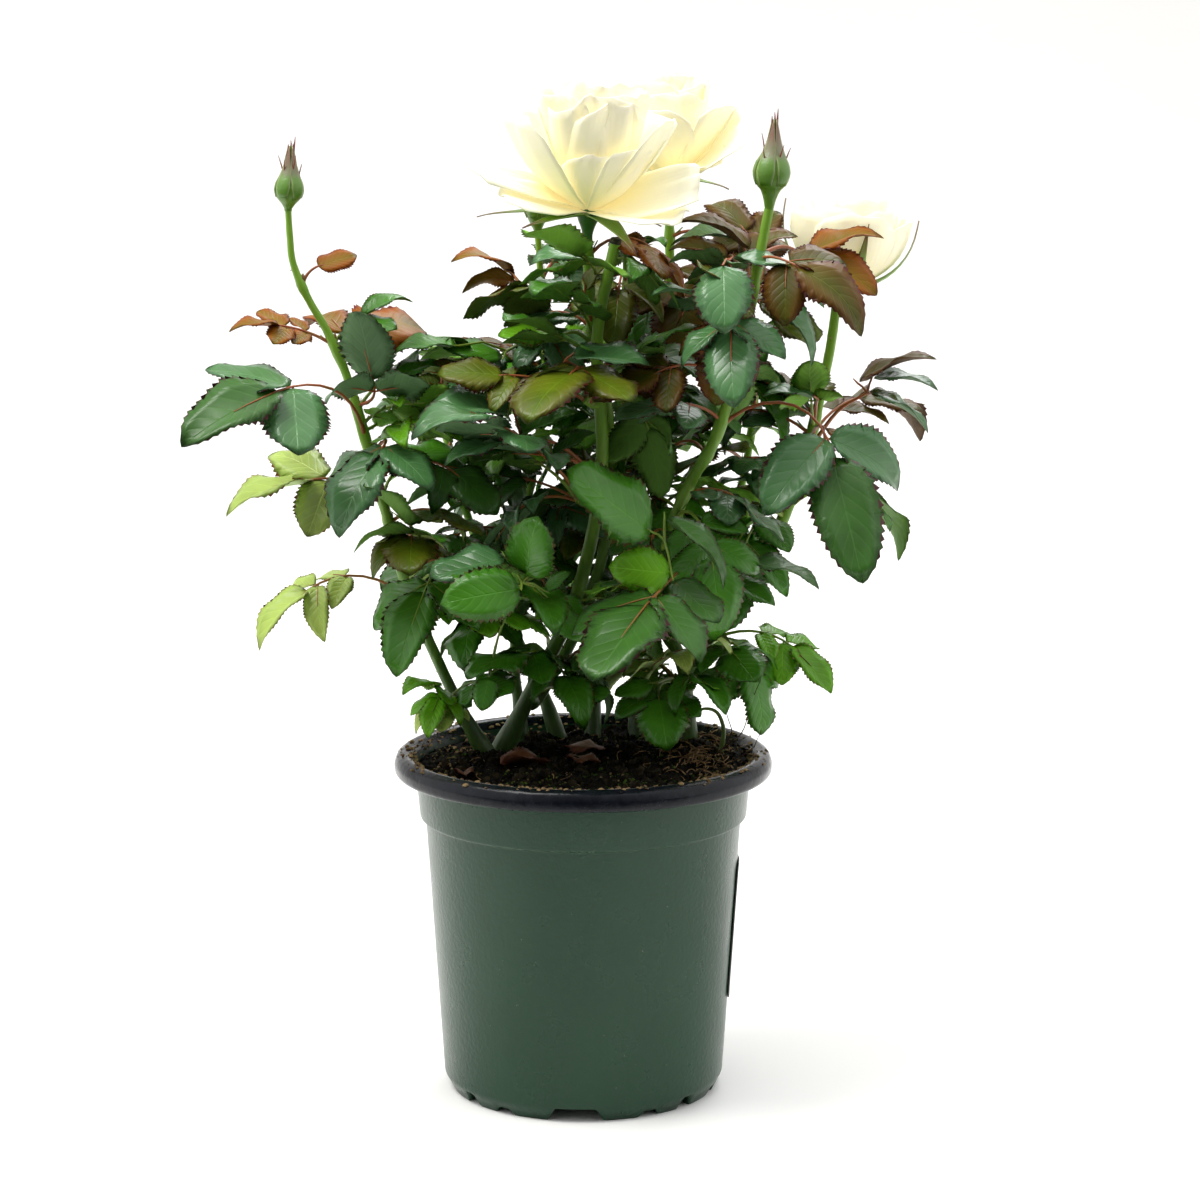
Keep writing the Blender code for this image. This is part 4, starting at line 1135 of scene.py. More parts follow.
# %% [markdown]
# Hundreds of leaflets differ only in place, turn, size and shape, so Geometry Nodes set them out.
# Each has a point, with the turn, the size and the shape's number as attributes. The tree puts a
# shape on it, makes it real, and gives the under side its own finish.

# %% A tree that sets shapes out on points


def set_out_tree():
    tree, given = geometry_tree("set out shapes", {
        "Shapes": "Collection", "Upper finish": "Material", "Under finish": "Material"})
    placed = instances(tree, given["Shapes"], {
        "Points": given["Geometry"], "Instance Index": named(tree, "pick", "INT"),
        "Rotation": named(tree, "turn", "QUATERNION"),
        "Scale": named(tree, "size", "FLOAT_VECTOR")})
    return close_tree(tree, placed, given["Upper finish"], {
        "Selection": named(tree, "under", "BOOLEAN"), "Material": given["Under finish"]})


SET_OUT = set_out_tree()


def set_out(name, spots, shapes, upper, under=None):
    """Places shapes. A spot is (place, ahead, up, (wide, long, high), shape number)."""
    made = mesh_object(name, [spot[0] for spot in spots], [])
    turns = []
    for _, ahead, up, _, _ in spots:
        right = ahead.cross(up).normalized()
        rows = (right, ahead.normalized(), right.cross(ahead).normalized())
        turns.append(Matrix(rows).transposed().to_quaternion())
    give(made.data, "turn", "QUATERNION", turns)
    give(made.data, "size", "FLOAT_VECTOR", [spot[3] for spot in spots])
    give(made.data, "pick", "INT", [spot[4] for spot in spots])
    return run_tree(made, SET_OUT, {"Shapes": shapes, "Upper finish": upper,
                                    "Under finish": under or upper})


def own(piece, slot, *nodes):
    """A finished piece rides on the plant's one body, takes a slot and stands for its nodes."""
    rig.ride(piece, "root")
    if nodes:
        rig.replaces(piece, *nodes)
    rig.slot(piece, slot)
    return piece

# %% [markdown]
# The leaves run from dark green, low and old, to lime where they are young and thin, and to
# bronze at the shoots' tips. The fresh green and lime tints are partly painted light: their
# brightness stands for light through the thin blade, beside young leaves' own colour. Each tint
# is its own piece with one plain base colour. On it lie paler veins, a dark red line along the
# teeth, and a satin gloss that the veins break up. The under side is paler and matt.

# %% Leaf finishes
VEINS = 7.0
VEIN_SLANT = 2.6
# Four colours, in thousandths: the upper side at its middle and towards its rim, the under side,
# and the rim itself. Then roughness and refraction of the upper side, in hundredths.
# The fresh and lime rows are partly painted light: their bright yellow-green stands for light through the thin blade.
TINTS = table("""
deep 42 140 14  38 115 18  80 175 42  75 16 14  36 140
sea 75 205 58  66 180 62  120 230 95  90 20 20  29 148
mid 56 215 7  42 165 9  115 255 34  75 55 10  33 142
fresh 155 420 10  115 330 11  200 440 42  150 100 12  34 134
lime 410 540 110  350 480 100  440 590 200  300 110 35  34 134
olive 100 160 4  105 95 7  135 190 28  130 20 12  34 134
bronze 200 135 4  310 65 7  240 95 7  150 10 10  42 124
wine 85 95 5  125 40 9  150 80 30  90 6 8  40 127
""")


def leaf_finish(name, colour, flush, edge, gloss, veined, bending=1.34):
    made, tree, shader = finish(name, gloss, IOR=bending)
    across, ahead = blade_place(tree)
    away = calc("ABSOLUTE", calc("SUBTRACT", across, 0.5))
    wave = calc("FRACT", calc("SUBTRACT", times(ahead, VEINS), times(away, 2.0 * VEIN_SLANT)))
    ridge = calc("ABSOLUTE", calc("SUBTRACT", wave, 0.5))
    rib = ranged(away, 0.018, 0.0)
    line = calc("MAXIMUM", times(ranged(ridge, 0.38, 0.5), 0.4), rib)
    cloud = object_noise(tree, 45.0)
    share = calc("ADD", times(ranged(away, 0.05, 0.46), 0.75),
                 times(ranged(cloud, 0.35, 0.60), 0.25))
    pale = tuple(min(1.0, c * 1.4 + 0.004) for c in colour)
    dark = tuple(c * 0.60 for c in colour)
    body = blend(share, ramp(cloud, ((0.34, dark), (0.58, colour))), flush)
    body = blend(times(line, veined), body, pale)
    body = blend(ranged(away, 0.466, 0.496), body, edge)
    valley = calc("POWER", times(ridge, 2.0), 3.0)
    height = calc("ADD", times(calc("ADD", valley, rib), -0.6),
                  times(object_noise(tree, 900.0, 2.0), 0.2))
    dress(shader, body, height, 0.00025, 0.7)
    return made


LEAF_FINISHES = {}
for tint, *numbers, gloss, bending in TINTS:
    upper, flush, under, edge = groups(numbers)
    LEAF_FINISHES[tint] = (
        leaf_finish(f"leaf_{tint}", upper, flush, edge, gloss / 100, 0.6, bending / 100),
        leaf_finish(f"leaf_{tint}_under", under, under, edge, 0.60, 0.4))
print("leaf finishes:", 2 * len(LEAF_FINISHES))

# %% [markdown]
# A tint goes to a whole leaf. The named leaves have theirs listed. The others go by how high
# they stand: young bronze leaves come towards the top, and lime and fresh green ones low down in
# the shade.

# %% Tints by leaf
BY_HEIGHT = table("""
0.225 mid fresh mid mid lime fresh deep
0.290 deep mid fresh sea mid olive mid
0.335 deep sea mid olive mid wine fresh
0.500 sea bronze mid wine olive deep mid
""")
rng = random.Random(SEED + 2)
SPOTS = {tint: [] for tint in LEAF_FINISHES}
LEAVES_GROWN = []
for mass, leaf, look in GROWN:
    choice = rng.random()
    if look:
        words = look.split(":")
    else:
        tip_z = leaf_station(leaf, 1.0)[0].z
        tints = next(names for top, *names in BY_HEIGHT if tip_z < top)
        words = [tints[int(choice * len(tints))]]
    words += ["0", "-1", words[0]][len(words) - 1:]
    tint, level, shape, beside_it = words[0], float(words[1]), int(words[2]), words[3]
    LEAVES_GROWN.append((mass, leaf, tint))
    for foot, ahead, up, length, share in leaf_plan(leaf):
        twist = rng.uniform(-14, 14)
        nod = rng.uniform(-8, 8)
        side = ahead.cross(up)
        ahead, up = turned(ahead, nod, side), turned(turned(up, nod, side), twist, ahead)
        kind = rng.randrange(USUAL_KINDS)
        if share == 1.0:
            flat = UP - ahead * ahead.z
            up = up.lerp(flat.normalized(), level).normalized()
            kind = kind if shape < 0 else shape
        start = foot + ahead * (0.0012 if share < 1.0 else 0.0)
        scale = (length * rng.uniform(0.95, 1.08), length, length)
        SPOTS[tint if share == 1.0 else beside_it].append((start, ahead, up, scale, kind))
for tint, (foot, ahead, up, length), shape in SHOWN_SPOTS:
    SPOTS[tint].append((foot + ahead * 0.0008, ahead, up, (length, length, length), shape))
for tint, spots in SPOTS.items():
    own(set_out(f"leaves_{tint}", spots, SHAPES, *LEAF_FINISHES[tint]), "foliage", *MASSES)
print("leaves by tint:", {tint: len(spots) for tint, spots in SPOTS.items()})

# %% [markdown]
# Canes, stalks, hips and roots are all one kind of thing: a round section swept along a line.
# This tree turns a line of points into a curve, reads each point's thickness from an attribute,
# sweeps a circle along it with closed ends, and gives the skin relief by a fine noise.

# %% A tree that sweeps a round section


def sweep_tree():
    tree, given = geometry_tree("sweep a round section", {
        "Sides": "Int", "Relief": "Float", "Grain": "Float", "Finish": "Material"})
    line = node(tree, "GeometryNodeMeshToCurve", {"Mesh": given["Geometry"]})
    ring = node(tree, "GeometryNodeCurvePrimitiveCircle",
                {"Resolution": given["Sides"], "Radius": 1.0})
    skin = node(tree, "GeometryNodeCurveToMesh", {
        "Curve": line, "Profile Curve": ring, "Scale": named(tree, "thick", "FLOAT"),
        "Fill Caps": True})
    stretched = node(tree, "ShaderNodeVectorMath", {
        0: node(tree, "GeometryNodeInputPosition"), 1: (1.0, 1.0, 0.35)}, operation="MULTIPLY")
    bumps = node(tree, "ShaderNodeTexNoise", {
        "Vector": stretched, "Scale": given["Grain"], "Detail": 2.0})
    push = times(calc("SUBTRACT", bumps, 0.5), given["Relief"])
    away = node(tree, "ShaderNodeVectorMath", {
        0: node(tree, "GeometryNodeInputNormal"), "Scale": push}, operation="SCALE")
    moved = node(tree, "GeometryNodeSetPosition", {"Geometry": skin, "Offset": away})
    smooth = node(tree, "GeometryNodeSetShadeSmooth", {"Geometry": moved})
    return close_tree(tree, smooth, given["Finish"])


SWEEP = sweep_tree()


def sweep(name, lines, sides, look, bumps=0.0, grain=400.0):
    """Sweeps lines, each a list of (point, radius)."""
    spots = []
    edges = []
    for line in lines:
        edges += [(len(spots) + i, len(spots) + i + 1) for i in range(len(line) - 1)]
        spots += line
    made = mesh_object(name, [point for point, _ in spots], [], edges=edges)
    give(made.data, "thick", "FLOAT", [radius for _, radius in spots])
    return run_tree(made, SWEEP, {"Sides": sides, "Relief": bumps, "Grain": grain,
                                  "Finish": look})

# %% [markdown]
# The canes are green all their lives: dark and a little grey near the mix, and yellow-green in
# the young wood above. Faint streaks run along them. Young leaves have red stalks and midribs.
# The other small green and red parts have the same finish. A row has the colour low, the colour
# high and the streaks' colour, in thousandths, and the roughness in hundredths.

# %% Cane and stalk finishes


def cane_finish(name, low, high, streak, gloss):
    made, tree, shader = finish(name, gloss)
    height = object_place(tree, "Z")
    body = blend(ranged(height, 0.165, 0.300), low, high)
    streaks = object_noise(tree, 90.0, 3.0, (4.0, 4.0, 0.5))
    body = blend(times(ranged(streaks, 0.45, 0.8), 0.45), body, streak)
    # Below 0.2 m the colour turns darker still towards the mix.
    body = blend(times(ranged(height, 0.200, 0.150), 0.7), body, (0.030, 0.062, 0.014))
    dress(shader, body, object_noise(tree, 700.0, 2.0, (1.0, 1.0, 0.3)), 0.0004, 0.5)
    return made


# The hips' row is their own green darkened as painted shade, for the shade under the blooms.
CANE_LOOKS = {name: cane_finish(name, *groups(numbers), gloss / 100)
              for name, *numbers, gloss in table("""
cane_bark 60 140 18  180 370 22  280 430 60  42
stalk_red 250 140 22  340 80 22  200 170 20  42
stalk_green 170 290 30  190 310 30  300 120 30  42
hip_green 35 140 20  35 140 20  80 210 35  38
stipule_green 130 230 30  150 240 35  190 90 30  50
side_bud 90 150 20  170 90 20  180 40 20  45
prickle 160 110 50  220 130 50  120 40 20  50
sepal_red 240 45 30  240 45 30  170 150 70  50
bud_green 110 250 15  110 250 15  200 350 70  32
""")}
print("cane finishes:", len(CANE_LOOKS))

# %% [markdown]
# A real cane swells at each node where a leaf joined it, and at its foot where it leaves the
# rootstock. Each limb's line gets those swellings from the leaves that stand on it. The cut cane
# ends in a flat, darkened cut.

# %% Canes
CANE_STEPS = 90
NODE_SWELL = 0.00055
NODE_LONG = 0.0032
FOOT_SWELL = 0.55
FOOT_LONG = 0.016


def limb_line(name):
    """A limb's fine line with its swellings, from below the mix to its tip."""
    path = PATHS[name]
    fine = smooth_path(path, CANE_STEPS)
    feet = [leaf[0] for mass, leaf, _ in LEAVES_GROWN if MASSES[mass][0] == name]
    line = []
    for i, point in enumerate(fine):
        radius = limb_radius(name, i / CANE_STEPS)
        near = min([(point - foot).length for foot in feet] or [1.0])
        radius += NODE_SWELL * math.exp(-(near / NODE_LONG) ** 2)
        rise = (point - path[0]).length
        radius *= 1.0 + FOOT_SWELL * math.exp(-(rise / FOOT_LONG) ** 2)
        line.append((point, radius))
    down = (fine[0] - fine[1]).normalized()
    start = line[0][1]
    if LIMBS[name][4] is None:
        return [(fine[0] + down * 0.003, start * 1.2)] + line
    return [(fine[0] + down * (start * 1.2), start * 0.7)] + line


CANE_LINES = [limb_line(name) for name in LIMBS]
for mass, (limb, spur) in MASSES.items():
    if spur:
        twig = smooth_path(STEMS[mass], 8)
        back = twig[0] - (twig[1] - twig[0]).normalized() * 0.0025
        CANE_LINES.append([(back, 0.0022)] + [(p, mix(0.0016, 0.0009, i / 8))
                                              for i, p in enumerate(twig)])
canes = sweep("canes", CANE_LINES, 14, CANE_LOOKS["cane_bark"], 0.0005)
own(canes, "cane", *[name for name in NODES if name.startswith("cane")])
TIP = PATHS["cut"][-1]
WAY = end_way(PATHS["cut"])
TIP_R = LIMBS["cut"][2]
CUT_LOOK = noise_finish("cut_wood", 0.8, 900.0, (0.35, (0.012, 0.010, 0.006)),
                        (0.65, (0.060, 0.045, 0.020)))
cut_line = [(TIP - WAY * 0.0016, TIP_R * 1.05), (TIP + WAY * 0.0004, TIP_R * 1.02),
            (TIP + WAY * 0.0008, TIP_R * 0.8)]
own(sweep("cut_end", [cut_line], 14, CUT_LOOK, 0.0004), "cane")

# %% [markdown]
# Every leaf stalk leaves the cane from a swollen foot, thins to the terminal leaflet and goes on
# as its midrib. Short stalks join the side leaflets. Young leaves have red stalks.

# %% Leaf stalks
STALK_STEPS = 9
STALK_FOOT = 0.00125
STALK_TIP = 0.00048
RIB_SHARE = 0.45
RED_TINTS = ("deep", "sea", "olive", "bronze", "wine", "lime")


def stalk_lines(leaf):
    lines = []
    main = []
    for i in range(STALK_STEPS + 1):
        share = i / STALK_STEPS
        radius = mix(STALK_R, STALK_TIP, share) + (STALK_FOOT - STALK_R) * math.exp(-7.0 * share)
        main.append((leaf_station(leaf, share)[0], radius))
    plan = leaf_plan(leaf)
    for foot, ahead, up, length, share in plan:
        reach = RIB_SHARE * length
        inner = [(foot + ahead * (reach * t) - up * (0.0004 + 0.30 * reach * t * t * 0.3),
                  mix(STALK_TIP, 0.00018, t)) for t in (0.0, 0.35, 0.7, 1.0)]
        if share == 1.0:
            main += inner[1:]
        else:
            lines.append(inner)
    lines.append(main)
    return lines


def hand_stalk_lines(root, joint, feet):
    """A bowed stalk from a limb to the joint, and a short one on to each leaflet."""
    reach = (joint - root).length
    middle = root.lerp(joint, 0.5) + Vector((0.0, 0.0, 0.12 * reach))
    lines = [[(p, mix(STALK_FOOT, 0.00065, (i / 10) ** 0.5))
              for i, p in enumerate(smooth_path((root, middle, joint), 10))]]
    for foot in feet:
        gap = foot - joint
        bow = joint.lerp(foot, 0.5) + Vector((0.0, 0.0, 0.10 * gap.length))
        lines.append([(joint, 0.00060), (bow, 0.00052), (foot, STALK_TIP),
                      (foot + gap.normalized() * 0.003, 0.00025)])
    return lines


STALKS = {"red": [], "green": []}
for _, leaf, tint in LEAVES_GROWN:
    STALKS["red" if tint in RED_TINTS else "green"] += stalk_lines(leaf)
for tint, root, joint, feet in SHOWN_STALKS:
    STALKS["red" if tint in RED_TINTS else "green"] += hand_stalk_lines(root, joint, feet)
for kind, lines in STALKS.items():
    own(sweep(f"stalks_{kind}", lines, 6, CANE_LOOKS[f"stalk_{kind}"]), "cane", *MASSES)

# %% [markdown]
# At a leaf's foot sit two stipules, narrow green wings that clasp the stalk and end in a free
# point, and a small bud in the angle above. Short prickles stand on the canes. Both repeat over
# the whole plant, so they are shapes set out on points like the leaflets.

# %% Stipules, side buds and prickles


def ring_faces(rings, sides):
    """Quads between rings of points that follow each other."""
    return [(i * sides + k, i * sides + (k + 1) % sides, (i + 1) * sides + (k + 1) % sides,
             (i + 1) * sides + k) for i in range(rings - 1) for k in range(sides)]


def faced_out(thing):
    """Recalculates normals outwards."""
    shape = bmesh.new()
    shape.from_mesh(thing.data)
    bmesh.ops.remove_doubles(shape, verts=shape.verts, dist=1e-7)
    bmesh.ops.recalc_face_normals(shape, faces=shape.faces)
    shape.to_mesh(thing.data)
    shape.free()
    thing.data.shade_smooth()
    return thing


def stipule_mesh(name, side):
    """A wing 1 m long along +Y on one side, with a free pointed tip."""
    rows = groups("0 5  25 16  55 15  75 22  100 42", 2, 100)
    verts = []
    for y, x in rows:
        edge = 0.02 if y < 0.7 else 0.10 + (y - 0.7) * 0.9
        verts += [(spot * side, y, z)
                  for spot, z in ((edge, 0.0), (x, 0.05), (x, 0.03), (edge, -0.02))]
    faces = ring_faces(len(rows), 4) + [(3, 2, 1, 0), (16, 17, 18, 19)]
    if side < 0:
        faces = [tuple(reversed(face)) for face in faces]
    return faced_out(mesh_object(name, verts, faces, linked=False))


def spindle_mesh(name, section, sides, bend=0.0):
    """A closed turned shape along +Y from (y, radius) pairs, bent towards +Z."""
    turns = [2 * math.pi * k / sides for k in range(sides)]
    verts = [(r * math.cos(a), y, r * math.sin(a) + bend * y * y) for y, r in section for a in turns]
    last = sides * (len(section) - 1)
    faces = ring_faces(len(section), sides)
    faces += [tuple(range(sides)), tuple(reversed(range(last, last + sides)))]
    return faced_out(mesh_object(name, verts, faces, linked=False))


SMALL = shape_set("small_shapes", (
    stipule_mesh("small_0", 1), stipule_mesh("small_1", -1),
    spindle_mesh("small_2", groups("0 30  30 38  70 24  100 3", 2, 100), 7),
    spindle_mesh("small_3", groups("-20 34  0 24  50 10  100 1", 2, 100), 6, -0.3)))
rng = random.Random(SEED + 3)
wings = []
knobs = []
for mass, leaf, _ in LEAVES_GROWN:
    foot, ahead, up = leaf_station(leaf, 0.0)
    long = min(0.011, leaf[5] * 0.24)
    for number in (0, 1):
        wings.append((foot + ahead * 0.0006, ahead, up, (long * 0.6, long, long), number))
    reach = rng.uniform(0.0022, 0.0034)
    rise = (ahead * 0.5 + UP).normalized()
    knobs.append((foot + Vector((0.0, 0.0, 0.0014)) + ahead * 0.0006, rise, up,
                  (reach, reach, reach), 2))
own(set_out("stipules", wings, SMALL, CANE_LOOKS["stipule_green"]), "foliage", *MASSES)
own(set_out("side_buds", knobs, SMALL, CANE_LOOKS["side_bud"]), "cane")
prickles = []
for name, path in PATHS.items():
    fine = smooth_path(path, CANE_STEPS)
    for i in range(6, CANE_STEPS - 8, 7):
        turn = rng.uniform(-180, 180)
        step = (fine[i + 1] - fine[i]).normalized()
        side = turned(step.orthogonal().normalized(), turn, step)
        reach = rng.uniform(0.0012, 0.0024)
        radius = limb_radius(name, i / CANE_STEPS)
        if rng.random() < 0.6:
            prickles.append((fine[i] + side * (radius * 0.9), side, step,
                             (reach, reach, reach), 3))
own(set_out("prickles", prickles, SMALL, CANE_LOOKS["prickle"]), "cane")

# %% [markdown]
# A rose petal is a curved sheet: a narrow claw, a broad blade and a rounded rim that rolls back.
# Each petal is a grid laid out by rule: its middle line tilts from its foot to its rim, its width
# follows a table, and its sides bend round the bloom. Sepals have a long pointed outline.

# %% Petals
PETAL_WIDE = groups("0 20  12 44  30 76  50 95  70 100  88 97  100 88", 2, 100)
SEPAL_WIDE = groups("0 62  20 100  45 78  70 36  90 12  100 3", 2, 100)
PETAL_ROWS = 11
PETAL_COLS = 10


def axis_frame(axis):
    axis = Vector(axis).normalized()
    east = (Vector((1.0, 0.0, 0.0)) - axis * axis.x).normalized()
    return axis, east, axis.cross(east)


def around(axes, a):
    """A direction square to the axis, a radians round it."""
    return axes[1] * math.cos(a) + axes[2] * math.sin(a)


def beside(axes, turn):
    """The direction square to the axis and to the direction turn."""
    return axes[0].cross(around(axes, math.radians(turn)))


def tilted_line(base, axes, turn, length, foot, rim, roll=0.0, steps=30):
    """A petal's middle line as (point, inward), tilting from the axis as it goes."""
    axis = axes[0]
    away = around(axes, math.radians(turn))
    line = []
    point = base + away * 0.0006
    for i in range(steps + 1):
        s = i / steps
        late = max(0.0, (s - 0.72) / 0.28)
        tilt = math.radians(mix(foot, rim, s) + roll * late * late)
        line.append((point.copy(), axis * math.sin(tilt) - away * math.cos(tilt)))
        point += (axis * math.cos(tilt) + away * math.sin(tilt)) * (length / steps)
    return line


def petal(line, side, width, bend, ruffle=0.0, phase=0.0, rounding=0.20, wide=PETAL_WIDE,
          rows=PETAL_ROWS, cols=PETAL_COLS, twist=0.0):
    """A petal's points, faces and (across, along) marks, laid out about its middle line."""
    flat_side = side
    verts = []
    marks = []
    for i in range(rows + 1):
        for k in range(cols + 1):
            t = 2.0 * k / cols - 1.0
            s = i / rows * (1.0 - rounding * abs(t) ** 3.4 * (i / rows) ** 2
                            - 10.0 * ruffle * math.sin(phase * 5 + 9.0 * t) * (i / rows) ** 4)
            spot = min(s * (len(line) - 1), len(line) - 1 - 1e-6)
            j = int(spot)
            middle = line[j][0].lerp(line[j + 1][0], spot - j)
            inward = line[j][1].lerp(line[j + 1][1], spot - j).normalized()
            lean = math.radians(twist) * min(1.0, 2.5 * s)
            side = flat_side * math.cos(lean) + inward * math.sin(lean)
            inward = inward * math.cos(lean) - flat_side * math.sin(lean)
            half = 0.5 * width * along(wide, s)
            angle = t * half / bend
            place = middle + side * (bend * math.sin(angle))
            place += inward * (bend * (1.0 - math.cos(angle)))
            wave = ruffle * s * s * (math.sin(phase + 3.1 * t) + 0.5 * math.sin(phase * 2 + 7.0 * t)
                                     + 0.35 * math.sin(phase * 3 + 12.0 * t + 5.0 * s))
            edge = max(0.0, abs(t) - 0.72) / 0.28
            place += inward * (wave - 0.9 * abs(ruffle) * edge * edge * s)
            verts.append(place)
            marks.append((k / cols, s))
    faces = []
    for i in range(rows):
        for k in range(cols):
            n = i * (cols + 1) + k
            faces.append((n, n + 1, n + cols + 2, n + cols + 1))
    return verts, faces, marks


def sheet_object(name, sheets, look, thick):
    """Joins sheets into one object and gives it a thickness."""
    verts = []
    faces = []
    marks = []
    for points, polygons, spots in sheets:
        base = len(verts)
        verts += points
        marks += spots
        faces += [tuple(i + base for i in face) for face in polygons]
    made = mesh_object(name, verts, faces, (look,))
    mark_blade(made.data, marks)
    wall = made.modifiers.new("thickness", "SOLIDIFY")
    wall.thickness = thick
    wall.offset = 0.0
    print(f"{name}: {len(sheets)} sheets, {len(faces)} faces before their thickness")
    return made

# %% [markdown]
# The petals are ivory and pass into butter yellow towards the claw. They are thin, and some
# subsurface lets light through them. A little glow of their own is painted light: it brightens
# every petal evenly, also where it faces the dim front. Fine lines run from claw to rim.

# %% Petal and sepal finishes


def petal_finish(name, rim_colour, claw_colour):
    # The warm emission is painted light, the same glow on every petal.
    made, tree, shader = finish(name, 0.55, Subsurface_Weight=0.25, Subsurface_Scale=0.004,
                                Emission_Strength=0.16)
    shader.inputs["Subsurface Radius"].default_value = (1.0, 0.8, 0.4)
    shader.inputs["Emission Color"].default_value = (1.0, 0.95, 0.68, 1.0)
    across, ahead = blade_place(tree)
    cloud = object_noise(tree, 120.0)
    body = blend(ranged(ahead, 0.05, 0.75), claw_colour, rim_colour)
    body = blend(times(cloud, 0.16), body, claw_colour)
    lines = calc("SINE", times(across, 110.0))
    dress(shader, body, calc("ADD", times(lines, 0.05), cloud), 0.0008, 0.35)
    return made


PETAL_LOOK = petal_finish("petal_ivory", (1.0, 0.96, 0.74), (0.97, 0.84, 0.40))


def sepal_finish(name, gloss, *stops):
    """A finish that changes from foot to tip, by stops of (place, colour)."""
    made, tree, shader = finish(name, gloss)
    across, ahead = blade_place(tree)
    cloud = times(calc("SUBTRACT", object_noise(tree, 300.0), 0.5), 0.25)
    rim = ranged(calc("ABSOLUTE", calc("SUBTRACT", across, 0.5)), 0.36, 0.5)
    body = blend(times(rim, 0.5), ramp(calc("ADD", ahead, cloud), stops), (0.45, 0.50, 0.25))
    dress(shader, body, object_noise(tree, 900.0, 2.0), 0.0003, 0.4)
    return made


SEPAL_LOOK = sepal_finish("sepal_green", 0.45, (0.0, (0.150, 0.330, 0.015)),
                          (0.6, (0.190, 0.370, 0.020)), (0.82, (0.230, 0.170, 0.030)),
                          (0.95, (0.180, 0.030, 0.020)))
BUD_SEPAL_LOOK = sepal_finish("bud_sepal", 0.36, (0.0, (0.090, 0.230, 0.014)),
                              (0.35, (0.120, 0.250, 0.035)), (0.50, (0.200, 0.210, 0.110)),
                              (0.8, (0.240, 0.130, 0.090)))
print("petal and sepal finishes: 3")

# %% [markdown]
# Each bloom has its hip, a ring of sepals, outer petals that lie back, and rings of inner petals
# that stand closer and closer. The outer petals are set one by one, because they give the bloom
# its own outline. The others follow a rule: so many in a ring, with a little chance.

# %% Blooms
HIP_H = 0.0100
# A bloom has its limb, its axis and how far it is sunk, then its petals and its sepals. A row of
# petals is a ring or a single one: count, first direction, lift, length, width, tilt at the foot
# and the rim, bend radius, roll of the rim, ruffle, twist. A sepal has five of these: direction,
# length, width and the two tilts. Lengths are in tenths of a millimetre.
BLOOMS = {
    "bloom_front": ("bloom", (0.04, -0.10, 1.0), 0.0, """
1 -34 0 460 300 84 90 600 0 16 8
1 -14 10 500 340 78 66 340 14 26 30
1 -174 4 550 250 68 76 240 -26 22 -20
1 -158 0 400 260 76 82 300 0 14 -26
1 -88 4 345 290 70 2 180 22 14 0
1 -160 15 570 440 72 12 250 10 16 0
1 -40 10 410 300 74 8 170 22 14 0
1 -12 18 540 420 68 12 240 14 16 0
1 -122 22 500 360 50 0 180 22 24 0
1 -62 25 520 400 48 4 190 20 26 0
1 24 10 530 440 66 16 280 16 18 0
1 62 14 530 440 66 14 280 16 18 0
1 100 10 530 440 66 16 280 16 18 0
1 138 14 530 440 66 14 280 16 18 0
1 172 18 530 440 62 12 260 16 18 0
6 -140 30 530 360 44 2 200 24 28 0
5 -98 40 530 320 32 -4 165 28 28 0
5 -70 50 500 290 20 -8 125 32 14 0
5 -20 60 460 220 10 -8 85 30 10 0
""", """
-172 470 110 84 98
-148 320 135 90 102
-52 360 120 92 126
22 340 90 90 108
92 340 90 88 104
"""),
    "bloom_rear": ("rear", (-0.05, -0.02, 1.0), 0.0, """
1 -20 0 430 460 62 56 450 8 22 30
1 -54 0 310 360 70 84 400 0 16 16
1 26 0 450 420 62 30 340 14 18 0
4 74 4 460 420 64 18 280 16 18 0
1 -82 10 450 400 58 4 220 18 16 0
5 -46 20 460 370 46 2 200 24 18 0
5 -64 30 450 320 30 -4 155 28 16 0
5 -20 40 420 260 18 -8 110 30 14 0
4 20 50 380 190 8 -8 70 28 10 0
""", """
-20 280 80 82 112
52 280 80 82 106
124 280 80 82 106
-164 280 80 82 104
-92 280 80 82 118
"""),
    "bloom_half": ("half", (0.14, -0.04, 1.0), 0.0070, """
5 -80 0 470 410 84 -12 225 18 12 0
5 -44 10 440 360 70 -16 190 16 12 0
5 -10 20 410 300 54 -16 150 14 10 0
4 30 30 380 240 38 -14 105 12 8 0
""", """
-176 520 110 88 -16
-78 480 100 88 -10
-14 510 120 88 -12
-128 280 100 90 18
80 460 100 88 -4
"""),
}
HIP_SECTION = ((0.2, 0.0026), (0.4, 0.0033), (0.6, 0.0042), (0.8, 0.0048), (0.95, 0.0049),
               (1.1, 0.0040), (1.2, 0.0024))


def bloom_sheets(name):
    """The bloom's base, its frame of directions and its petals' sheets."""
    limb, axis, sunk, rings, _ = BLOOMS[name]
    path = PATHS[limb]
    heading = end_way(path)
    axes = axis_frame(axis)
    place = path[-1] + heading * (GAP - sunk)
    base = place + axes[0] * HIP_H
    chance = random.Random(SEED + len(name))
    sheets = []
    for count, first, lift, length, width, foot, rim, bend, roll, ruffle, twist in table(
            rings, 2, 3, 4, 7, 9, per=TENTHS):
        for k in range(count):
            jog = chance.uniform(-5, 5) if count > 1 else 0.0
            size = chance.uniform(0.95, 1.05) if count > 1 else 1.0
            turn = first + 360.0 * k / count + jog
            line = tilted_line(base + axes[0] * lift, axes, turn, length * size, foot, rim, roll)
            sheets.append(petal(line, beside(axes, turn), width * size, bend, ruffle,
                                chance.uniform(0, 6.28), twist=twist))
    return place, heading, base, axes, sheets


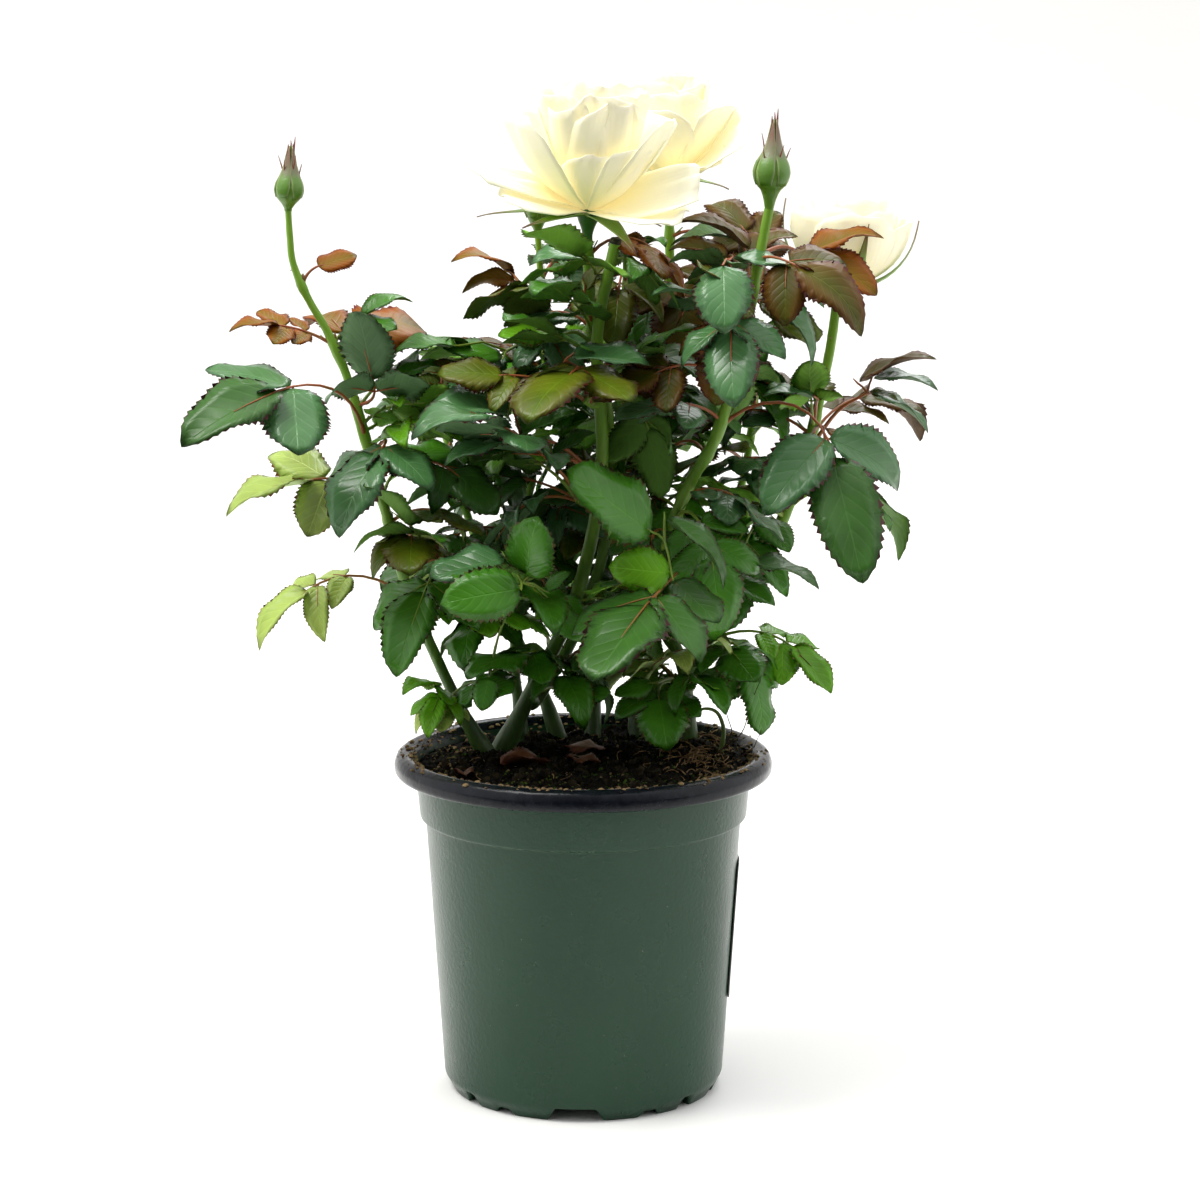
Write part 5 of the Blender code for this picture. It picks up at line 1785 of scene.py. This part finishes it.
HIP_LINES = []
SEPALS = []
for name in BLOOMS:
    place, heading, base, axes, sheets = bloom_sheets(name)
    petals = sheet_object(name.replace("bloom", "petals"), sheets, PETAL_LOOK, 0.00045)
    own(petals, "bloom", name)
    axis = axes[0]
    HIP_LINES.append([(place - heading * 0.002, 0.0021), (place, 0.0022)]
                     + [(place + axis * (HIP_H * t), r) for t, r in HIP_SECTION])
    for k, (turn, length, width, foot, rim) in enumerate(table(BLOOMS[name][4], 1, 2, per=TENTHS)):
        line = tilted_line(base - axis * 0.0016, axes, turn, length, foot, rim, 14.0)
        SEPALS.append(petal(line, beside(axes, turn), width, 0.010, 0.0001, k, 0.0, SEPAL_WIDE,
                            12, 4))
own(sheet_object("sepals", SEPALS, SEPAL_LOOK, 0.0004), "bloom", *BLOOMS)

# %% [markdown]
# A bud is an egg on a round green hip, wrapped in sepals whose tips run out into red, twisted
# threads. The egg and the hip are one swept line with changing thickness, and the sepals are
# the petals' rule again, bent to hug the egg.

# %% Buds
BUDS = {
    "bud_left": ("left", (0.06, 0.0, 1.0), """
0 16  20 30  45 51  75 60  105 54  140 35  180 20  230 10  260 4
""", 0.0300),
    "bud_right": ("right", (0.06, 0.0, 1.0), """
0 19  40 28  75 42  95 60  125 73  155 76  190 66  225 42  280 22  330 11  370 4
""", 0.0415),
    "bud_rear": ("bud", (-0.02, 0.0, 1.0), """
0 15  30 30  60 44  90 56  130 54  170 30  210 14
""", 0.0240),
}
BUD_SEPAL_COUNT = 5
TIP_LINES = []
BUD_LINES = []
BUD_SEPALS = []
SEPAL_OFF = 0.0003
rng = random.Random(SEED + 4)
for name, (limb, axis, section, top) in BUDS.items():
    section = groups(section, 2, TENTHS)
    path = PATHS[limb]
    heading = end_way(path)
    axes = axis_frame(axis)
    axis = axes[0]
    place = path[-1] + heading * GAP
    profile = [Vector((h, r, 0.0)) for h, r in section]
    fine = smooth_path(profile, 5 * len(profile))
    BUD_LINES.append([(place - heading * 0.001, section[0][1])]
                     + [(place + axis * p.x, max(p.y, 0.0006)) for p in fine])
    widest = max(r for _, r in section)
    start_h = next(h for h, r in section if r > 0.7 * widest)
    neck_h = section[-1][0]
    for k in range(BUD_SEPAL_COUNT):
        turn = 30 + 360.0 * k / BUD_SEPAL_COUNT
        a = math.radians(turn)
        away = around(axes, a)
        line = []
        for j in range(25):
            h = mix(start_h, neck_h, j / 24)
            r = along(section, h) + SEPAL_OFF * (0.6 + 1.4 * (j / 24))
            slope = (along(section, h + 0.001) - along(section, h - 0.001)) / 0.002
            line.append((place + axis * h + away * r, (axis * slope - away).normalized()))
        BUD_SEPALS.append(petal(line, beside(axes, turn), widest * 1.16, widest * 1.02,
                                0.0001, k, 0.0, SEPAL_WIDE, 14, 6))
        for twin in range(3):
            out_way = around(axes, a + 0.5 * twin)
            if twin < 2:
                start_at = neck_h - 0.004
                reach = top - start_at - 0.0016 * k - 0.003 * twin
                lean = rng.uniform(-0.04, 0.05)
            else:
                start_at = mix(start_h, neck_h, rng.uniform(0.38, 0.55))
                reach = rng.uniform(0.004, 0.007)
                lean = rng.uniform(0.10, 0.40)
            start = place + axis * start_at + out_way * along(section, start_at)
            line = []
            for j in range(7):
                t = j / 6
                swirl = 0.7 * math.sin(2.2 * t + k)
                off = out_way * (lean * t) + out_way.cross(axis) * (0.10 * swirl * t)
                line.append((start + (axis * t + off) * reach,
                             mix(0.00065 - 0.00015 * twin, 0.00012, t ** 1.3)))
            TIP_LINES.append(line)
own(sweep("hips", HIP_LINES, 18, CANE_LOOKS["hip_green"], 0.0002), "bud", *BLOOMS)
own(sweep("bud_bodies", BUD_LINES, 20, CANE_LOOKS["bud_green"], 0.0002), "bud", *BUDS)
own(sheet_object("bud_sepals", BUD_SEPALS, BUD_SEPAL_LOOK, 0.0004), "bud", *BUDS)
own(sweep("bud_tips", TIP_LINES, 6, CANE_LOOKS["sepal_red"]), "bud", *BUDS)

# %% [markdown]
# The pot is a thin moulded shell: a rolled lip, a straight collar, a step, a tapering wall and a
# foot ring with notches that let water out. Its half section is turned about the pot's axis with
# every corner rounded. A notch needs no cutting: the foot's points inside it are lifted along
# the wall.

# %% Pot
POT_TURNS = 288
WALL_R = (0.0614, 0.0689)
WALL_TOP = 0.1208
POT_ROUND = 0.0009
FOOT_H = 0.0066
POT_SECTION = groups("""
580 0  614 66  689 1208  713 1214  732 1412  742 1418  808 1402  823 1418
825 1452  812 1484  784 1500  755 1492  738 1466  722 1420  701 1226
676 1206  602 84  0 84  0 71  578 71  548 0
""", 2, TENTHS)
LIP_FROM = 0.1405
NOTCH_TURN = -3.0
# Degrees from the middle notch, width at its top and at the floor, and height.
NOTCHES = ((0.0, 0.0170, 0.0240, 0.0062), (32.0, 0.0060, 0.0100, 0.0030),
           (51.0, 0.0050, 0.0085, 0.0056), (74.0, 0.0050, 0.0080, 0.0036))


def rounded(outline, radius):
    """An open outline with each corner made of three points on a small arc."""
    found = [Vector(outline[0])]
    for a, b, c in zip(outline, outline[1:], outline[2:]):
        a, b, c = Vector(a), Vector(b), Vector(c)
        if b.x == 0.0:
            found.append(b)
            continue
        p = b + (a - b).normalized() * min(radius, (a - b).length * 0.4)
        q = b + (c - b).normalized() * min(radius, (c - b).length * 0.4)
        found += [p, (p + q) * 0.25 + b * 0.5, q]
    return found + [Vector(outline[-1])]


def notch_height(degrees):
    """How high the foot is cut away at a direction about the axis."""
    best = 0.0
    for half in (0.0, 180.0):
        for turn, top_w, foot_w, height in NOTCHES:
            for sign in ((1,) if turn == 0.0 else (1, -1)):
                middle = NOTCH_TURN + half + sign * turn - 90.0
                off = abs((degrees - middle + 180.0) % 360.0 - 180.0)
                off = math.radians(off) * POT_SECTION[0][0]
                slope = (off - top_w / 2) / ((foot_w - top_w) / 2)
                best = max(best, height * min(1.0, max(0.0, 1.0 - slope)))
    return best


def make_pot(looks):
    section = rounded(POT_SECTION, POT_ROUND)
    verts = []
    rings = []
    for r, z in section:
        if r == 0.0:
            verts.append((0.0, 0.0, z))
            rings.append([len(verts) - 1] * POT_TURNS)
            continue
        rings.append(list(range(len(verts), len(verts) + POT_TURNS)))
        for k in range(POT_TURNS):
            a = 2 * math.pi * k / POT_TURNS
            high = notch_height(math.degrees(a))
            radius, lift = r, z
            if z < high and r > 0.05:
                inner = r < 0.0579 and len(rings) > 10
                radius = mix(0.0548, 0.0578, high / 0.0071) if inner else mix(
                    0.0580, 0.0614, high / FOOT_H)
                lift = high
            verts.append((radius * math.cos(a), radius * math.sin(a), lift))
    faces = []
    dark = []
    for i in range(len(rings)):
        a, b = rings[i], rings[(i + 1) % len(rings)]
        top = section[i].y > LIP_FROM and section[i].x > 0.0737
        for k in range(POT_TURNS):
            n = (k + 1) % POT_TURNS
            corners = list(dict.fromkeys((a[k], a[n], b[n], b[k])))
            if len(corners) > 2:
                faces.append(tuple(corners))
                dark.append(1 if top or 3 * 12 < i < len(rings) - 8 else 0)
    return faced_out(mesh_object("nursery_pot", verts, faces, looks, picks=dark))


# %% [markdown]
# The wall is dark green polypropylene with a satin skin: it mirrors a bright studio softly at its
# sides. It carries fine moulding streaks and dust specks, and a painted highlight: a pale green
# line on the ledge under the collar. The rolled lip is black and glossier.

# %% Pot finishes
WALL_LOOK, wall, wall_shader = finish("pot_green", 0.30, IOR=1.38)
height = object_place(wall, "Z")
soft = object_noise(wall, 25.0, 4.0, (1.0, 1.0, 0.4))
body = ramp(soft, ((0.3, (0.006, 0.036, 0.015)), (0.7, (0.009, 0.046, 0.020))))
specks = ranged(object_noise(wall, 520.0, 2.0), 0.74, 0.80)
body = blend(times(specks, 0.5), body, (0.16, 0.17, 0.13))
# Painted highlight: a pale green line along the ledge under the collar, broken up by noise.
ledge_highlight = ranged(calc("ABSOLUTE", calc("SUBTRACT", height, 0.1212)), 0.0007, 0.0001)
rough = ranged(object_noise(wall, 300.0), 0.4, 0.6)
body = blend(times(times(ledge_highlight, rough), 0.3), body, (0.17, 0.24, 0.17))
dress(wall_shader, body, object_noise(wall, 520.0, 3.0), 0.0004, 0.5,
      ranged(object_noise(wall, 60.0, 4.0), 0.0, 1.0, 0.22, 0.36))

LIP_LOOK, lip, lip_shader = finish("pot_lip_black", 0.20, IOR=1.30)
body = ramp(object_noise(lip, 200.0), ((0.4, (0.002, 0.003, 0.006)),
                                       (0.75, (0.008, 0.010, 0.015))))
dress(lip_shader, body, object_noise(lip, 260.0, 3.0), 0.0005, 0.4,
      ranged(object_noise(lip, 130.0), 0.0, 1.0, 0.12, 0.32))
own(make_pot((WALL_LOOK, LIP_LOOK)), "pot", "pot")

# %% [markdown]
# The plain label is a thin card bowed like the wall behind it, with rounded corners and nothing
# printed on it. It is a grid, so the outer rows of faces can be its dark border.

# %% Label
LABEL_TURN = 98.0
LABEL_W = 0.040
LABEL_Z = (0.040, 0.101)
LABEL_T = 0.0006
LABEL_COLS = 24
LABEL_ROWS = 30
LABEL_ROUND = 0.004


def make_label(looks):
    verts = []
    tall = LABEL_Z[1] - LABEL_Z[0]
    for layer in (0, 1):
        for i in range(LABEL_ROWS + 1):
            for c in range(LABEL_COLS + 1):
                x = (c / LABEL_COLS - 0.5) * LABEL_W
                y = (i / LABEL_ROWS - 0.5) * tall
                dx = max(0.0, abs(x) - (LABEL_W / 2 - LABEL_ROUND))
                dy = max(0.0, abs(y) - (tall / 2 - LABEL_ROUND))
                far = math.hypot(dx, dy)
                pull = min(1.0, LABEL_ROUND / far) if far else 1.0
                x -= math.copysign(dx * (1.0 - pull), x)
                y -= math.copysign(dy * (1.0 - pull), y)
                z = LABEL_Z[0] + tall / 2 + y
                r = mix(*WALL_R, (z - FOOT_H) / (WALL_TOP - FOOT_H)) + 0.0003
                a = math.radians(LABEL_TURN - 90.0) + x / r
                r += LABEL_T * layer
                verts.append((r * math.cos(a), r * math.sin(a), z))
    wide = LABEL_COLS + 1
    far = wide * (LABEL_ROWS + 1)
    faces = []
    dark = []
    for i in range(LABEL_ROWS):
        for c in range(LABEL_COLS):
            n = i * wide + c
            rim = min(i, c, LABEL_ROWS - 1 - i, LABEL_COLS - 1 - c) < 2
            for loop in ((n, n + wide, n + wide + 1, n + 1),
                         (far + n, far + n + 1, far + n + wide + 1, far + n + wide)):
                faces.append(loop)
                dark.append(int(rim))
    ring = ([c for c in range(LABEL_COLS)]
            + [LABEL_COLS + i * wide for i in range(LABEL_ROWS)]
            + [LABEL_ROWS * wide + c for c in range(LABEL_COLS, 0, -1)]
            + [i * wide for i in range(LABEL_ROWS, 0, -1)])
    for a, b in zip(ring, ring[1:] + ring[:1]):
        faces.append((a, b, far + b, far + a))
        dark.append(1)
    return faced_out(mesh_object("plain_label", verts, faces, looks, picks=dark))


CARD_LOOK = noise_finish("label_card", 0.45, 300.0, (0.3, (0.62, 0.63, 0.60)),
                         (0.7, (0.74, 0.74, 0.71)))
BORDER_LOOK = noise_finish("label_border", 0.35, 300.0, (0.3, (0.006, 0.010, 0.008)),
                           (0.7, (0.012, 0.018, 0.014)))
own(make_label((CARD_LOOK, BORDER_LOOK)), "label", "label")

# %% [markdown]
# The potting mix is a dark heap of peat with crumbs, bark bits, tan fibres and some moss. Its
# body follows the solid's heaps with a noise on top.

# %% Potting mix
SOIL_R = 0.0714
SOIL_UNDER = 0.0690
SOIL_FLOOR = 0.126
SOIL_RINGS = 46
SOIL_TURNS = 150
SOIL_ROUGH = 0.0042


def make_soil(look):
    verts = []
    for i in range(SOIL_RINGS + 1):
        r = SOIL_R * (i / SOIL_RINGS) ** 0.8
        for k in range(SOIL_TURNS):
            a = 2 * math.pi * k / SOIL_TURNS
            x, y = r * math.cos(a), r * math.sin(a)
            inner = min(r, SOIL_R - 0.0006)
            z = ground_height(inner * math.cos(a), inner * math.sin(a))
            lumps = (noise.noise((x * 70, y * 70, 1.0)) + 0.6 * noise.noise((x * 190, y * 190, 5))
                     + 0.35 * noise.noise((x * 480, y * 480, 9)))
            verts.append((x, y, z + SOIL_ROUGH * lumps * min(1.0, (SOIL_R - r) / 0.004 + 0.15)))
    for k in range(SOIL_TURNS):
        a = 2 * math.pi * k / SOIL_TURNS
        verts.append((SOIL_UNDER * math.cos(a), SOIL_UNDER * math.sin(a), SOIL_FLOOR))
    faces = []
    for i in range(SOIL_RINGS + 1):
        for k in range(SOIL_TURNS):
            n = (k + 1) % SOIL_TURNS
            a, b = i * SOIL_TURNS, (i + 1) * SOIL_TURNS
            faces.append((a + k, b + k, b + n, a + n))
    last = (SOIL_RINGS + 1) * SOIL_TURNS
    faces.append(tuple(reversed(range(last, last + SOIL_TURNS))))
    return faced_out(mesh_object("potting_mix", verts, faces, (look,)))


SOIL_LOOK, mould, mould_shader = finish("peat", 0.95, IOR=1.22)
crumbly = object_noise(mould, 350.0, 6.0)
body = ramp(crumbly, ((0.35, (0.0016, 0.0013, 0.0008)), (0.62, (0.006, 0.0045, 0.002)),
                      (0.80, (0.050, 0.032, 0.014))))
mossy = ranged(object_noise(mould, 42.0, 2.0), 0.62, 0.72)
dress(mould_shader, blend(times(mossy, 0.7), body, (0.022, 0.050, 0.008)), crumbly, 0.002, 0.9)
soil = own(make_soil(SOIL_LOOK), "soil", "soil")
print("mix faces:", len(soil.data.polygons))

# %% [markdown]
# Crumbs are small chipped balls. Geometry Nodes pick places on the mix by chance from a fixed
# seed, turn and size each crumb, and make them real.

# %% Crumbs


def crumb_mesh(name, seed, flat, cuts):
    """A ball of triangles, pushed in and out."""
    chance = random.Random(seed)
    shape = bmesh.new()
    bmesh.ops.create_icosphere(shape, subdivisions=cuts, radius=1.0)
    for v in shape.verts:
        v.co *= 0.9 + 0.5 * noise.noise(v.co * 1.6 + Vector((seed, 0.0, 0.0)))
        v.co *= chance.uniform(0.88, 1.12)
        v.co.z *= flat
    made = mesh_object(name, [], [], linked=False)
    shape.to_mesh(made.data)
    shape.free()
    return made


def scatter_tree():
    tree, given = geometry_tree("scatter on a surface", {
        "Shapes": "Collection", "Density": "Float", "Smallest": "Float", "Largest": "Float",
        "Seed": "Int", "Finish": "Material"})
    places = node(tree, "GeometryNodeDistributePointsOnFaces", {
        "Mesh": given["Geometry"], "Density": given["Density"], "Seed": given["Seed"]})
    size = node(tree, "FunctionNodeRandomValue", {
        "Min": given["Smallest"], "Max": given["Largest"], "Seed": given["Seed"]},
        data_type="FLOAT")
    turn = node(tree, "FunctionNodeRandomValue", {
        "Min": (0.0, 0.0, 0.0), "Max": (6.28, 6.28, 6.28), "Seed": 5}, data_type="FLOAT_VECTOR")
    placed = instances(tree, given["Shapes"], {"Points": places, "Rotation": turn, "Scale": size})
    return close_tree(tree, placed, given["Finish"])


SCATTER = scatter_tree()
CRUMBS = shape_set("crumb_shapes", [crumb_mesh(f"crumb_{i}", 40 + i, 0.45 if i > 3 else 0.8, 1)
                                    for i in range(6)])
CLODS = shape_set("clod_shapes", [crumb_mesh(f"clod_{i}", 50 + i, 0.7, 2) for i in range(6)])


def scatter(name, shapes, look, density, smallest, largest, seed, keep):
    """Crumbs over the part of the mix's top where keep(x, y) holds."""
    faces = [tuple(p.vertices) for p in soil.data.polygons
             if p.normal.z > 0.3 and len(p.vertices) < 9 and keep(*p.center[:2])]
    made = mesh_object(name, [v.co for v in soil.data.vertices], faces)
    return run_tree(made, SCATTER, {"Shapes": shapes, "Density": density, "Smallest": smallest,
                                    "Largest": largest, "Seed": seed, "Finish": look})


def crumb_finish(name, dark, light):
    return noise_finish(name, 0.9, 260.0, (0.35, dark), (0.65, light),
                        relief=(1500.0, 0.0003, 0.6), IOR=1.22)


# The darkest and the lightest colour of each, divided by 10000.
CRUMB_LOOKS = {name: crumb_finish(name, *groups(numbers, 3, TENTHS)) for name, *numbers in table("""
peat_crumb 12 10 6  90 70 35
peat_clod 20 16 9  280 210 90
bark_bit 900 580 240  3000 2100 1050
moss 120 340 40  700 1150 140
peat_fibre 900 500 220  3000 1900 900
dry_root 200 130 80  600 360 200
""")}


def anywhere(x, y):
    return True


def well_inside(x, y):
    return math.hypot(x, y) < 0.066


def is_mossy(x, y):
    return (math.hypot(x + 0.016, y + 0.052) < 0.020 or math.hypot(x - 0.020, y + 0.050) < 0.013
            or noise.noise((x * 60, y * 60, 3.0)) > 0.20)


def near_edge(x, y):
    return math.hypot(x, y) > 0.058 and noise.noise((x * 45, y * 45, 8.0)) > -0.15


# Name, shapes, finish, how many to a square metre, smallest and largest size, seed, and where.
for name, shapes, look, density, smallest, largest, seed, keep in (
        ("peat_crumbs", CRUMBS, "peat_crumb", 170000.0, 0.0004, 0.0018, 7, anywhere),
        ("peat_clods", CLODS, "peat_clod", 17000.0, 0.0012, 0.0030, 11, well_inside),
        ("bark_bits", CRUMBS, "bark_bit", 26000.0, 0.0003, 0.0010, 8, anywhere),
        ("edge_bits", CRUMBS, "bark_bit", 120000.0, 0.0003, 0.0013, 12, near_edge),
        ("moss_tufts", CRUMBS, "moss", 170000.0, 0.0003, 0.0011, 9, is_mossy)):
    own(scatter(name, shapes, CRUMB_LOOKS[look], density, smallest, largest, seed, keep), "soil")

# %% [markdown]
# Small things make the plant look kept and watered: peat caught on the inside of the lip, tan
# fibres in the heap at the right, two dead leaves, a young shoot, and thin roots that hang over
# the edge.

# %% Litter
FIBRES = 135
HEAP_FIBRES = 105
LIP_TRIES = 1400
rng = random.Random(SEED + 5)
fibres = []
for i in range(FIBRES):
    heap = i < HEAP_FIBRES
    a = rng.uniform(0, 6.28)
    r = rng.uniform(0.0, 0.022) if heap else 0.066 * math.sqrt(rng.random())
    x, y = (0.050 + r * math.cos(a) * 0.9, 0.000 + r * math.sin(a) * 1.9) if heap else (
        r * math.cos(a), r * math.sin(a))
    if math.hypot(x, y) > 0.067:
        continue
    turn = rng.uniform(0, 6.28)
    long = rng.uniform(0.004, 0.013)
    bend = rng.uniform(-1.5, 1.5)
    lift = rng.uniform(0.0002, 0.0030 if heap else 0.0010)
    line = []
    for j in range(5):
        t = j / 4
        way = turn + bend * (t - 0.5)
        px = x + long * (t - 0.5) * math.cos(way)
        py = y + long * (t - 0.5) * math.sin(way)
        flat = min(1.0, 0.069 / max(math.hypot(px, py), 1e-6))
        px, py = px * flat, py * flat
        line.append((Vector((px, py, ground_height(px, py) + lift + 0.0012 * t * (1 - t) * 4)),
                     rng.uniform(0.00014, 0.00030)))
    fibres.append(line)
own(sweep("peat_fibres", fibres, 5, CRUMB_LOOKS["peat_fibre"]), "soil")

LIP_RISE = groups("722 1440  738 1472  755 1494  784 1501  812 1486", 2, TENTHS)
lip_bits = []
for i in range(LIP_TRIES):
    a = rng.uniform(0, 2 * math.pi)
    front = 0.5 + 0.5 * math.sin(-a)
    if rng.random() > 0.30 + 0.70 * front * max(0.0, noise.noise((a * 3, 0.0, 7.0)) + 0.45):
        continue
    r = rng.uniform(0.0722, 0.0758 if i % 3 else 0.0812)
    size = 0.0003 + 0.0013 * rng.random() ** 1.6
    lip_bits.append((Vector((r * math.cos(a), r * math.sin(a), along(LIP_RISE, r))),
                     Vector((rng.uniform(-1, 1), rng.uniform(-1, 1), 0.2)).normalized(),
                     UP, (size, size, size * 0.7), rng.randrange(6)))
own(set_out("lip_bits", lip_bits, CRUMBS, CRUMB_LOOKS["bark_bit"]), "soil")

roots = []
for points in ("58 -10 150  66 -14 158  71 -14 166  74.5 -13 178  76.2 -12 184",
               "64 -18 148  71 -20 153  75 -20 158  76.5 -20 163",
               "60 -12 151  64 -8 160  62 -6 170  66 -5 176"):
    fine = smooth_path(groups(points), 18)
    roots.append([(p + Vector((noise.noise(p * 260), noise.noise(p * 260 + Vector((9, 0, 0))),
                               0.0)) * 0.0012, mix(0.00032, 0.00012, i / 18))
                  for i, p in enumerate(fine)])
own(sweep("dry_roots", roots, 6, CRUMB_LOOKS["dry_root"], 0.0001), "soil")

shoot = smooth_path(groups("60 -4 150  61 -6 160  58 -8 168  52 -10 170  48 -11 167"), 20)
own(sweep("young_shoot", [[(p, mix(0.0011, 0.0005, i / 20)) for i, p in enumerate(shoot)]], 10,
          CANE_LOOKS["stalk_green"], 0.0002), "cane")

DEAD = leaf_finish("leaf_dead", (0.160, 0.058, 0.022), (0.110, 0.034, 0.015),
                   (0.060, 0.020, 0.010), 0.65, 0.6)
dead_spots = []
for x, y, turn, rise, size, kind in table("""
-36 -8 20 6 30 3
10 16 160 14 22 5
-8 4 -30 2 18 4
-50 -30 100 5 16 1
""", 0, 1, 4):
    dead_spots.append((Vector((x, y, ground_height(x, y) + 0.0022)), direction(turn, rise),
                       direction(turn, rise + 90), (size * 0.9, size, size * 1.5), kind))
own(set_out("dead_leaves", dead_spots, SHAPES, DEAD), "foliage")

# %% [markdown]
# The plant stands on a pale floor that curves up behind it. In front, where the room is unlit,
# the sky turns dark and the floor's colour fades to dark grey, a painted shade, so that the pot
# mirrors a dark front between bright sides. The studio tent gives the soft light, and a lamp
# high on the left the faint shadow to the right.

# %% Studio
FLOOR_PAINTED_SHADE = (-0.22, -0.50)
FLOOR_BACK = 1.6
FLOOR_ROUND = 0.9
SKY_WAY = (-0.05, 1.0, 0.0)
SKY_DIM = 0.10
SKY_BRIGHT = 1.36


def make_floor():
    rows = [(-4.0, 0.0), (FLOOR_BACK, 0.0)]
    rows += [(FLOOR_BACK + FLOOR_ROUND * math.sin(a), FLOOR_ROUND * (1 - math.cos(a)))
             for a in (math.radians(7.5 * i) for i in range(1, 13))]
    rows.append((FLOOR_BACK + FLOOR_ROUND, 4.0))
    verts = [(x, y, z) for y, z in rows for x in (-4.0, 4.0)]
    faces = [(2 * i, 2 * i + 1, 2 * i + 3, 2 * i + 2) for i in range(len(rows) - 1)]
    look, tree, shader = finish("studio_paper", 0.9)
    # Painted shade: in front of the pot the paper's colour fades to dark grey, for the unlit room.
    painted_shade = ranged(object_place(tree, "Y"), *FLOOR_PAINTED_SHADE)
    paper = ramp(object_noise(tree, 3.0), ((0.3, (0.93, 0.92, 0.905)), (0.7, (0.95, 0.945, 0.93))))
    dress(shader, blend(painted_shade, paper, (0.055, 0.055, 0.055)))
    made = mesh_object("studio_floor", verts, faces, (look,))
    made.data.shade_smooth()
    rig.stage(made)


def make_lamp(name, place, target, size, power, colour):
    lamp = bpy.data.lights.new(name, "AREA")
    lamp.shape = "DISK"
    lamp.size = size
    lamp.energy = power
    lamp.color = colour
    made = bpy.data.objects.new(name, lamp)
    made.location = place
    made.rotation_euler = (Vector(target) - Vector(place)).to_track_quat("-Z", "Y").to_euler()
    bpy.context.scene.collection.objects.link(made)


make_floor()
make_lamp("tent_lamp", (-0.8, -0.2, 1.9), (0.0, 0.0, 0.2), 1.1, 30.0, (1.0, 0.985, 0.96))
make_lamp("back_lamp", (0.5, 1.3, 1.5), (0.0, 0.0, 0.3), 1.0, 14.0, (0.98, 0.99, 1.0))
world = bpy.data.worlds.new("studio")
world.use_nodes = True
sky = world.node_tree
way = out(node(sky, "ShaderNodeTexCoord"), "Generated")
bright = node(sky, "ShaderNodeVectorMath", {0: way, 1: SKY_WAY}, operation="DOT_PRODUCT")
level = ranged(out(bright, "Value"), -0.95, -0.40, SKY_DIM, SKY_BRIGHT)
sky.links.new(out(level), sky.nodes["Background"].inputs["Strength"])
sky.nodes["Background"].inputs["Color"].default_value = (1.0, 1.0, 1.0, 1.0)
bpy.context.scene.world = world
bpy.context.scene.view_settings.view_transform = "Standard"
print("lamps: 2 and an even sky")

# %% [markdown]
# Last, the shapes that were only patterns for the trees are removed, and the plant's box is
# written beside the box of its solids.

# %% Finish
for group in (SHAPES, SMALL, CRUMBS, CLODS):
    for thing in list(group.objects):
        bpy.data.objects.remove(thing, do_unlink=True)
    bpy.data.collections.remove(group)
bpy.context.view_layer.update()
VISUAL_BOX = [list(corner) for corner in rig.bounds()]
with open("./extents.json", "w") as size_file:
    json.dump({"cad": CAD_BOX, "visual": VISUAL_BOX}, size_file)
print("visual box:", [[round(v, 4) for v in corner] for corner in VISUAL_BOX])
